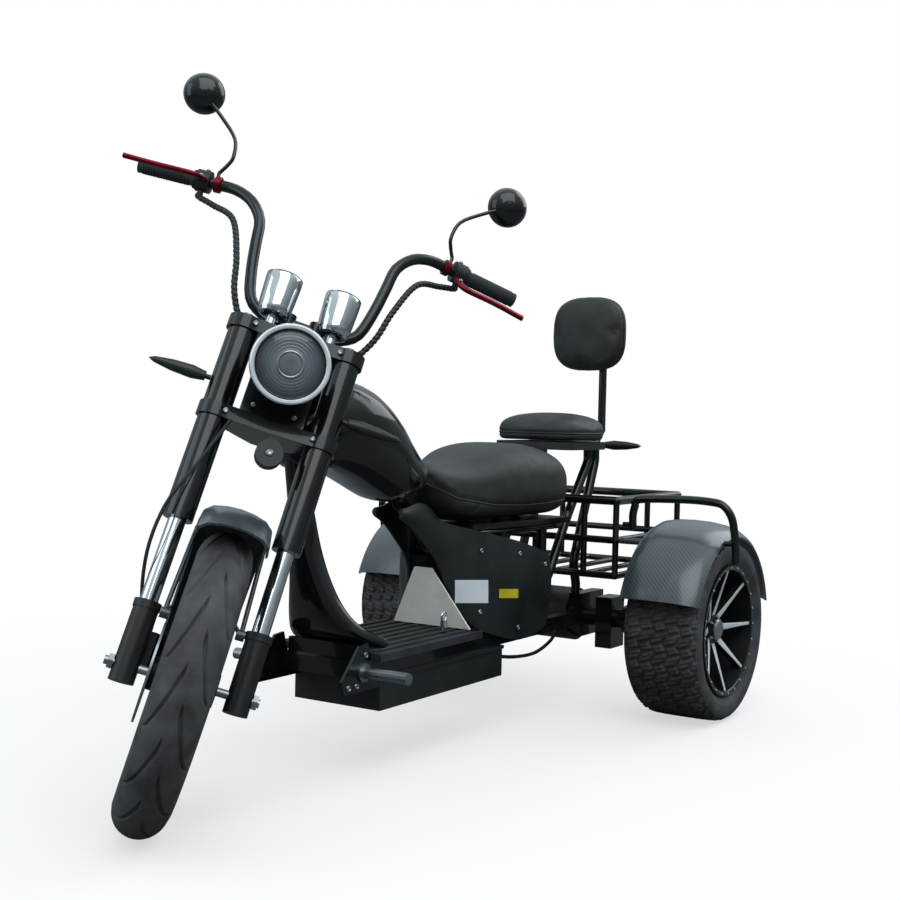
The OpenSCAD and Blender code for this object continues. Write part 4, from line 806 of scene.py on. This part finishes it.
class TRIKE_OT_rear_rims(bpy.types.Operator):
    """Dark lips, bright spoke faces, hub caps and lip bolts of the rear rims"""
    bl_idname = "trike.rear_rims"
    bl_label = "Rear rim faces"
    spokes, lip_bolts, hub_bolts = 8, 24, 5
    # Profiles as distance along the axle from the wheel's middle, and radius
    lip = ((90.2, 151.2), (91.6, 152.4), (91.9, 156), (93.0, 160.6), (92.4, 162.6), (90.2, 162.8))
    cap = ((60.2, 26.4), (63, 26), (66, 22.5), (67.5, 15), (68, 6))

    def execute(self, context):
        across = (1, 0, 0)
        t = np.linspace(0, 1, 14)
        half_wide = 8.6 - 4.4 * soft_step(0, 0.9, t)
        for name, sign in SIDES:
            body = f"rear_{name}_wheel"
            axis = np.array((0.0, sign, 0.0))
            hub = chassis((0, sign * REAR_HALF, REAR_R))
            piece(f"rear_rim_{name}_lip", [turned(self.lip, hub, axis, across, 120, closed=True)],
                  FINISH["cover"], body)
            parts = []
            for f in angles(self.spokes):
                out = np.array((math.cos(f), 0, math.sin(f)))
                path = hub + MM * ((30 + 121 * t)[:, None] * out + (46.4 + 38 * t)[:, None] * axis)
                parts.append(oval_bar(path, half_wide, 1.5, np.cross(axis, out)))
            piece(f"rear_rim_{name}_faces", parts, FINISH["machined"], body)
            parts = bolts(hub + MM * wheel_ring(157, 92.4, axis, angles(self.lip_bolts)), axis, 3.0, 2.2)
            parts += [turned(self.cap, hub, axis, across, 48)]
            between = angles(self.hub_bolts) + TURN / self.hub_bolts / 2
            parts += bolts(hub + MM * wheel_ring(31, 52, axis, between), axis, 4.2, 5.5)
            piece(f"rear_rim_{name}_fixings", parts, FINISH["steel"], body)
        return {"FINISHED"}


PAD_VOXEL = 0.0055
# Share of the swell by which a cover is drawn in first, and how near the flat side its points are held
PAD_DRAWN_IN = 0.6
PAD_HELD = 0.012


def points_and_normals(mesh):
    """A mesh's points and the normals there, a row for each."""
    points, normals = np.zeros((2, len(mesh.vertices) * 3))
    mesh.vertices.foreach_get("co", points)
    mesh.vertex_normals.foreach_get("vector", normals)
    return points.reshape(-1, 3), normals.reshape(-1, 3)


def blow_up(obj, swell, low, flat):
    """Draws a cover in a little, then blows it up by cloth under pressure. Points near the flat side stay,
    and none moves further than the swell."""
    mesh = obj.data
    points, normals = points_and_normals(mesh)
    rest = points - PAD_DRAWN_IN * swell * normals
    held = np.flatnonzero((rest - np.array(low)) @ np.array(flat) < PAD_HELD)
    mesh.vertices.foreach_set("co", rest.ravel())
    group = obj.vertex_groups.new(name="held")
    group.add(held.tolist(), 1.0, "REPLACE")
    cloth = obj.modifiers.new("cover", "CLOTH")
    cloth.settings.use_pressure = True
    cloth.settings.uniform_pressure_force = 4
    cloth.settings.vertex_group_mass = "held"
    cloth.settings.effector_weights.gravity = 0
    cloth.settings.tension_stiffness = 25
    cloth.settings.compression_stiffness = 25
    for step in range(1, 21):
        bpy.context.scene.frame_set(step)
    graph = bpy.context.evaluated_depsgraph_get()
    moved = np.zeros(len(rest) * 3)
    obj.evaluated_get(graph).data.vertices.foreach_get("co", moved)
    obj.modifiers.remove(cloth)
    bpy.context.scene.frame_set(1)
    shift = moved.reshape(-1, 3) - rest
    far = np.linalg.norm(shift, axis=1, keepdims=True)
    mesh.vertices.foreach_set("co", (rest + shift * np.minimum(1, swell / np.maximum(far, 1e-9))).ravel())
    mesh.update()


def swollen_pad(name, node, swell, flat):
    """A seat cover: the CAD solid remeshed evenly, blown up and relaxed."""
    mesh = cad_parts[node].data.copy()
    work = bmesh.new()
    work.from_mesh(mesh)
    bmesh.ops.remove_doubles(work, verts=work.verts[:], dist=1e-5)
    bmesh.ops.recalc_face_normals(work, faces=work.faces[:])
    work.to_mesh(mesh)
    work.free()
    obj = bpy.data.objects.new(name, mesh)
    bpy.context.scene.collection.objects.link(obj)
    bpy.context.view_layer.objects.active = obj
    remesh = obj.modifiers.new("even", "REMESH")
    remesh.mode = "VOXEL"
    remesh.voxel_size = PAD_VOXEL
    bpy.ops.object.modifier_apply(modifier=remesh.name)
    blow_up(obj, swell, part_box(node)[0], flat)
    relax = obj.modifiers.new("relax", "SMOOTH")
    relax.iterations = 6
    relax.factor = 0.5
    bpy.ops.object.modifier_apply(modifier=relax.name)
    return obj


def press_seam(obj, distance, depth, width):
    """A sewn channel: points sink along their normals by a bell curve of their distance to the seam."""
    mesh = obj.data
    points, normals = points_and_normals(mesh)
    points -= depth * np.exp(-(distance(points) / width) ** 2)[:, None] * normals
    mesh.vertices.foreach_set("co", points.ravel())
    mesh.update()


def on_surface(obj, points, centre):
    """Where rays from a centre line towards the points leave a mesh, so that piping lies on its skin."""
    tree = BVHTree.FromPolygons([v.co for v in obj.data.vertices], [p.vertices for p in obj.data.polygons])
    found = []
    for p, c in zip(points, np.broadcast_to(centre, points.shape)):
        way = Vector(p - c).normalized()
        hit = tree.ray_cast(Vector(c) + way * 2.0, -way)[0]
        found.append(hit if hit is not None else Vector(p))
    return np.array(found)


def finish_pad(obj, node):
    """Smooth shading, one subdivision and the vinyl for a cover, in place of its CAD solid."""
    for p in obj.data.polygons:
        p.use_smooth = True
    fine = obj.modifiers.new("smooth", "SUBSURF")
    fine.levels = fine.render_levels = 1
    dress(obj, FINISH["vinyl"], "chassis", [node])


def closed_piping(name, path, radius):
    """A closed round bead along a loop of points."""
    t = unit(np.roll(path, -1, 0) - np.roll(path, 1, 0))
    side = unit(np.cross(t, (0.13, 0.09, 1.0)))
    ring = circles(side, np.cross(t, side), 10)
    piece(name, [grid(path[:, None, :] + radius * ring, True, True)], FINISH["piping"], "chassis")


# Distance from the rear axle and height of the saddle's seam in millimetres
SADDLE_SEAM = ((160, 548), (200, 544), (300, 540), (420, 538), (520, 542), (620, 560), (680, 588), (716, 622))
# Name, node, axis across its flat side, the seam's distance from that side in metres, how full it is
BACK_PADS = (("pillion", "pillion_seat", 2, 0.022, 0.8), ("backrest", "backrest_pad", 0, 0.03, 0.75))


def saddle_seam(x):
    """Height of the saddle's seam at a place along the vehicle, in metres."""
    rows = chassis([(back, 0, height) for back, height in SADDLE_SEAM])
    return np.interp(x, rows[:, 0], rows[:, 2])


class TRIKE_OT_seats(bpy.types.Operator):
    """Saddle, pillion seat and backrest: swelled covers with sewn channels and piping"""
    bl_idname = "trike.seats"
    bl_label = "Seats"

    def execute(self, context):
        sizes = context.scene.trike_sizes
        f = angles(220)
        saddle = swollen_pad("saddle_cover", "main_seat", sizes.pad_swell, (0, 0, 1))
        low, high = (np.array(c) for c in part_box("main_seat"))
        press_seam(saddle, lambda p: p[:, 2] - saddle_seam(p[:, 0]), 0.003, 0.006)
        middle, half = (low[0] + high[0]) / 2, (high[0] - low[0]) / 2
        spine = np.stack((middle + 0.92 * half * np.cos(f), 0 * f, 0 * f), 1)
        spine[:, 2] = saddle_seam(spine[:, 0])
        aim = spine + np.stack((0.02 * np.cos(f), 0.3 * np.sin(f), 0 * f), 1)
        closed_piping("saddle_piping", on_surface(saddle, aim, spine), sizes.seam)
        finish_pad(saddle, "main_seat")
        for name, node, axis, seam_at, fill in BACK_PADS:
            pad = swollen_pad(f"{name}_cover", node, sizes.pad_swell, np.eye(3)[axis])
            low, high = (np.array(c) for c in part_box(node))
            seam = low[axis] + seam_at
            press_seam(pad, lambda p: p[:, axis] - seam, 0.0028, 0.005)
            centre = (low + high) / 2
            centre[axis] = seam
            aim = centre + np.insert(np.stack((np.cos(f), np.sin(f)), 1), axis, 0, axis=1)
            closed_piping(f"{name}_piping", on_surface(pad, aim, centre), sizes.seam)
            finish_pad(pad, node)
        return {"FINISHED"}


# The looms' route in the fork frame, from a switch housing down beside the bar's upright to the clamp
LOOM_ROUTE = np.array(((-69, 279, 242.6), (-69, 279, 236), (-69, 279, 229), (-48, 246, 212), (-8, 196, 178),
                       (12, 164, 96), (10, 148, 32), (4, 128, -10), (8, 112, -27), (12, 100, -31.9),
                       (17, 88, -31.9), (22, 76, -31.9))) + (0, 0, BAR_LOW)


class TRIKE_OT_looms(bpy.types.Operator):
    """Spiral-wrapped looms: a tube along the CAD route whose radius rises in a helix of ridges"""
    bl_idname = "trike.looms"
    bl_label = "Cable looms"
    rings, sides = 560, 16
    # Radius of the bundle and height of the wrap on it in millimetres
    core, ridge_high = 5.2, 1.3

    def execute(self, context):
        pitch = context.scene.trike_sizes.wrap_pitch
        parts = []
        for _, sign in SIDES:
            even, path = evenly(steered(smooth(LOOM_ROUTE * (1, sign, 1), 60)), self.rings)
            turn = (even[:, None] / pitch - sign * angles(self.sides)[None, :] / TURN) % 1
            ridge = soft_step(0.0, 0.16, turn) * (1 - soft_step(0.72, 0.9, turn))
            parts.append(tube(path, (self.core + self.ridge_high * ridge) * MM, self.sides, AHEAD))
        piece("looms_wrapped", parts, FINISH["wrap"], "steering", ["cable_looms"], sharp=50)
        return {"FINISHED"}


def grip_frame(sign):
    """Bar end, the way out along the grip, the way ahead of it and the way up, in the row frame."""
    def way(v):
        return (steered(np.array(v) * (1, sign, 1)) - steered((0, 0, 0))) / MM

    out = unit(np.array(GRIP_WAY))
    ahead = np.array((out[1], -out[0], 0))
    end = steered((BAR_END_AHEAD, BAR_END_ASIDE * sign, BAR_TOP))
    return end, way(out), way(ahead), FORK_UP


class TRIKE_OT_controls(bpy.types.Operator):
    """Ribbed grips, curved levers with ball ends, mirror glass and switch buttons on the handlebar"""
    bl_idname = "trike.controls"
    bl_label = "Controls"
    rib_pitch, grip_r = 5.5, 15.1
    # How far each lever is turned down about the bar in degrees, and where its root lies off the bar's middle
    lever_drop = {"left": 50, "right": 18}
    lever_root, lever_half = 23.5, 5.2
    # A lever's run as reach from its root and place along the grip from the bar end
    lever_run = ((-2, -136), (18, -136), (33, -126), (37, -104), (36, -66), (38, -30), (42, -4), (44, 18))
    # Profiles as distance along the axis and radius
    perch = ((-171, 12.5), (-171, 15.5), (-169.5, 17), (-158.5, 17), (-157, 15.5), (-157, 12.5))
    pane = ((-0.5, 41.0), (-1.2, 40.2), (-1.5, 38), (-1.5, 20), (-1.5, 1))
    mirror_lip = ((1.5, 41.6), (1.5, 43.1), (-2.2, 43.1), (-2.4, 41.0), (-0.6, 40.6))

    def grip_profile(self):
        """A grip from its flange to the bar end, with ribs between two smooth ends."""
        z = np.linspace(-118, 4, 240)
        turn = (z / self.rib_pitch) % 1
        rib = soft_step(0.25, 0.4, turn) * (1 - soft_step(0.85, 1.0, turn)) * ((z > -104) & (z < -6))
        flange = soft_step(-110, -114, z) * 4.5
        return np.stack((z, np.where(z > 1, 15.6, self.grip_r + 1.1 * rib + flange)), 1)

    def execute(self, context):
        grips, levers, glass, rims, knobs = [], [], [], [], []
        run = smooth(self.lever_run, 8)
        s = np.linspace(0, 1, len(run))
        thick = 11 - 4 * soft_step(0.15, 0.5, s) + 1.0 * soft_step(0.92, 1.0, s)
        for name, sign in SIDES:
            end, out, ahead, up = grip_frame(sign)
            grips.append(turned(self.grip_profile(), end, out, ahead, 40))
            levers.append(turned(self.perch, end, out, ahead, 40, closed=True))
            drop = math.radians(self.lever_drop[name])
            reach = math.cos(drop) * ahead - math.sin(drop) * up
            path = end + MM * ((self.lever_root + run[:, :1]) * reach + run[:, 1:] * out)
            levers.append(oval_bar(path, self.lever_half, thick, np.cross(reach, out)))
            mirror = steered((MIRROR_AHEAD, MIRROR_ASIDE * sign, BAR_TOP + MIRROR_RISE))
            glass.append(turned(self.pane, mirror, LOOK, RIDER_LEFT, 64))
            rims.append(turned(self.mirror_lip, mirror, LOOK, RIDER_LEFT, 64, closed=True))
            buttons = -138 * out + np.array((-8.0, 0, 8.0))[:, None] * ahead + 21.4 * up
            knobs += bolts(end + MM * buttons, up, 4.5, 4.0)
            over = np.cross(reach, out) * sign
            pivot = -136 * out + 40 * reach + 4.7 * over
            knobs += bolts(end + MM * pivot, over, 5.0, 3.2)
        piece("grips_ribbed", grips, FINISH["rubber"], "steering", ["grips"])
        piece("levers_curved", levers, FINISH["wine"], "steering", ["brake_levers"])
        piece("mirror_glass", glass, FINISH["glass"], "steering")
        piece("mirror_rims", rims, FINISH["cover"], "steering")
        piece("switch_knobs", knobs, FINISH["steel"], "steering")
        return {"FINISHED"}


class TRIKE_OT_lamp(bpy.types.Operator):
    """Headlamp bezel rings, gauge rims, dial marks and needles"""
    bl_idname = "trike.lamp"
    bl_label = "Lamp and gauges"
    # Profiles as distance along the axis and radius
    ring = ((6.2, 24.5), (8.6, 25.2), (9.4, 23.6), (8.9, 21.8), (6.2, 21.8))
    cap = ((8.1, 20.6), (9.2, 19.6), (9.7, 14), (9.9, 6))
    bead = ((8.1, 65.0), (10.2, 67), (10.6, 71), (8.1, 73.6))
    gauge_lip = ((0.2, 31.9), (1.8, 32.8), (2.2, 34.4), (1.2, 35.8), (0.2, 35.4))
    # Marks on a dial, the first one's angle and the sweep of them all in degrees, the needle in radians
    mark_count, first_mark, mark_sweep, needle = 15, 40, 280, 0.9
    # The dial's place as a share of the gauge's height, and the marks above it in millimetres
    dial_share, mark_lift = 0.96, 0.6

    def execute(self, context):
        middle = steered((LAMP_AHEAD, 0, LAMP_T))
        piece("lamp_centre", [turned(self.ring, middle, LOOK, RIDER_LEFT, 64, closed=True),
                              turned(self.cap, middle, LOOK, RIDER_LEFT, 48)],
              FINISH["steel"], "steering")
        piece("lamp_bead", [turned(self.bead, middle, LOOK, RIDER_LEFT, 96, closed=True)], FINISH["machined"],
              "steering")
        marks, rims = [], []
        share = np.arange(self.mark_count) / (self.mark_count - 1)
        for _, sign in SIDES:
            dial = GAUGE_LOW + GAUGE_HIGH * self.dial_share + self.mark_lift
            face = steered((GAUGE_AHEAD, GAUGE_ASIDE * sign, dial))
            for k, a in enumerate(math.radians(self.first_mark) + math.radians(self.mark_sweep) * share):
                ray = math.cos(a) * -AHEAD + math.sin(a) * RIDER_LEFT
                ends = np.array((21.0 if k % 2 == 0 else 23.5, 27.5))
                path = face + MM * ends[:, None] * ray
                marks.append(oval_bar(path, 0.7, 0.25, np.cross(ray, FORK_UP), 8))
            ray = math.cos(self.needle) * -AHEAD + math.sin(self.needle) * RIDER_LEFT
            path = face + MM * (np.array((-5.0, 8.0, 19.0))[:, None] * ray + 0.8 * FORK_UP)
            marks.append(oval_bar(path, (1.2, 0.9, 0.3), 0.3, np.cross(ray, FORK_UP), 8))
            top = steered((GAUGE_AHEAD, GAUGE_ASIDE * sign, GAUGE_LOW + GAUGE_HIGH))
            rims.append(turned(self.gauge_lip, top, FORK_UP, AHEAD, 64, closed=True))
        piece("dial_marks", marks, FINISH["print"], "steering")
        piece("gauge_rims", rims, FINISH["chrome"], "steering")
        return {"FINISHED"}


# Side panel: distance from the rear axle, bottom, top and distance to the left, in millimetres
PANEL_ROWS = ((775, 520, 540, 36), (748, 506, 543, 36), (720, 486, 550, 38), (690, 460, 548, 40),
              (660, 434, 530, 42), (640, 408, 512, 45), (622, 372, 503, 52), (604, 322, 496, 68),
              (586, 280, 490, 91), (563, 258, 483, 110), (545, 251, 479, 116.5), (422, 219, 452, 131),
              (310, 232, 421, 131), (280, 262, 408, 130))
PANEL_BULGE = 7


def panel_skin(x, z):
    """Outer face of the left side panel in millimetres: the rows are interpolated along X and bulge between
    their bottom and top by a parabola."""
    rows = smooth(PANEL_ROWS, 3)[::-1]
    low, high, out = (np.interp(x, rows[:, 0], rows[:, k]) for k in (1, 2, 3))
    return out + PANEL_BULGE - PANEL_BULGE * (2 * (z - low) / (high - low) - 1) ** 2


# Name, finish, and the left, upper, right and lower edges in the photograph's pixels
LABELS = (("label_white", "label", (455, 580, 488, 603)), ("label_yellow", "tag", (499, 589, 518, 598)))
# Under and upper face of a label off the panel, in millimetres
LABEL_LIFT = (0.3, 0.9)


class TRIKE_OT_labels(bpy.types.Operator):
    """Blank labels on the left side panel, laid on the panel's own curve"""
    bl_idname = "trike.labels"
    bl_label = "Labels"

    def execute(self, context):
        depth = np.linspace(0.15, 0.04, 440)[:, None]
        for name, key, (left, upper, right, lower) in LABELS:
            px, py = np.meshgrid(np.linspace(left, right, 16), np.linspace(upper, lower, 12), indexing="ij")
            # Each picture point's ray is followed inwards until it meets the panel
            ray = np.stack([side_point(u, v, depth) for u, v in zip(px.ravel(), py.ravel())], 1)
            skin = panel_skin(ray[..., 0] / MM + X_MID, ray[..., 2] / MM) * MM
            hit = np.argmax(depth <= skin, axis=0)
            spot = ray[hit, np.arange(px.size)].reshape(*px.shape, 3)
            out = unit(np.cross(np.gradient(spot, axis=0), np.gradient(spot, axis=1)))
            out *= np.sign(out[..., 1:2])
            under, over = (spot + lift * MM * out for lift in LABEL_LIFT)
            shell = np.concatenate((under, over[:, ::-1]), 1)
            piece(name, [grid(shell, wrap_cols=True)], FINISH[key], "chassis")
        return {"FINISHED"}


# Bolts of the side panels (from the rear axle, up) and of the gusset plates (back from the deck's datum, up)
PANEL_BOLTS = ((566, 440), (566, 300), (430, 425), (430, 250), (310, 390))
GUSSET_BOLTS = ((392, 203), (418, 203), (446, 262))


class TRIKE_OT_fixings(bpy.types.Operator):
    """Bolt heads on the clamps, lamp carrier, fork tops, horn, caliper, side panels and gusset plates"""
    bl_idname = "trike.fixings"
    bl_label = "Fixings"

    def execute(self, context):
        both = (1, -1)
        # Place, normal, head radius and head height of each bolt
        spots = [(steered((76, s * 84, t)), AHEAD, 5.5, 4.5)
                 for t in (LOWER_CLAMP, UPPER_CLAMP) for s in both]
        spots += [(steered((62.2, s * 40, LAMP_T + d)), AHEAD, 5.0, 4.0) for s in both for d in (-61, 61)]
        spots += [(steered((FORK_OFFSET, s * FORK_HALF, UPPER_CLAMP + 19.2)), FORK_UP, 13.0, 5.0)
                  for s in both]
        spots += [(steered((0, 0, UPPER_CLAMP + 13.2)), FORK_UP, 16.0, 9.0)]
        spots += [(steered(HORN_FACE), AHEAD, 7.0, 3.5)]
        caliper = [(FORK_OFFSET - CALIPER_BACK, CALIPER_FACE, CALIPER_HIGH + d) for d in (-20, 20)]
        spots += [(steered(place), -RIDER_LEFT, 5.5, 4.0) for place in caliper]
        bolt_piece("fork_bolts", spots, "steering")
        spots = [(chassis((x, s * (panel_skin(x, z) + 0.1), z)), (0, s, 0), 6.0, 3.0)
                 for s in both for x, z in PANEL_BOLTS]
        spots += [(chassis((DECK_DATUM - x, s * 113.5, z)), (0, s, 0), 6.5, 4.0)
                  for s in both for x, z in GUSSET_BOLTS]
        bolt_piece("frame_bolts", spots, "chassis")
        return {"FINISHED"}


STEPS = ("stage", "finishes", "smooth_covers", "front_tyre", "rear_tyres", "rear_rims", "seats", "looms",
         "controls", "lamp", "labels", "fixings")


class TRIKE_PT_panel(bpy.types.Panel):
    """Lists the tricycle's pieces"""
    bl_idname = "TRIKE_PT_panel"
    bl_label = "Tricycle"
    bl_space_type = "VIEW_3D"
    bl_region_type = "UI"
    bl_category = "Tricycle"

    def draw(self, context):
        for group in (context.scene.trike_sizes, context.scene.trike_colours):
            for key in group.__annotations__:
                self.layout.prop(group, key)
        for step in STEPS:
            self.layout.operator(f"trike.{step}")


CLASSES = (TricycleSizes, TricycleColours, TRIKE_OT_stage, TRIKE_OT_finishes, TRIKE_OT_smooth_covers,
           TRIKE_OT_front_tyre, TRIKE_OT_rear_tyres, TRIKE_OT_rear_rims, TRIKE_OT_seats, TRIKE_OT_looms,
           TRIKE_OT_controls, TRIKE_OT_lamp, TRIKE_OT_labels, TRIKE_OT_fixings, TRIKE_PT_panel)


def register():
    for cls in CLASSES:
        bpy.utils.register_class(cls)
    bpy.types.Scene.trike_sizes = bpy.props.PointerProperty(type=TricycleSizes)
    bpy.types.Scene.trike_colours = bpy.props.PointerProperty(type=TricycleColours)


def unregister():
    del bpy.types.Scene.trike_sizes, bpy.types.Scene.trike_colours
    for cls in reversed(CLASSES):
        bpy.utils.unregister_class(cls)


def main():
    register()
    for step in STEPS:
        getattr(bpy.ops.trike, step)()


if __name__ == "__main__":
    main()
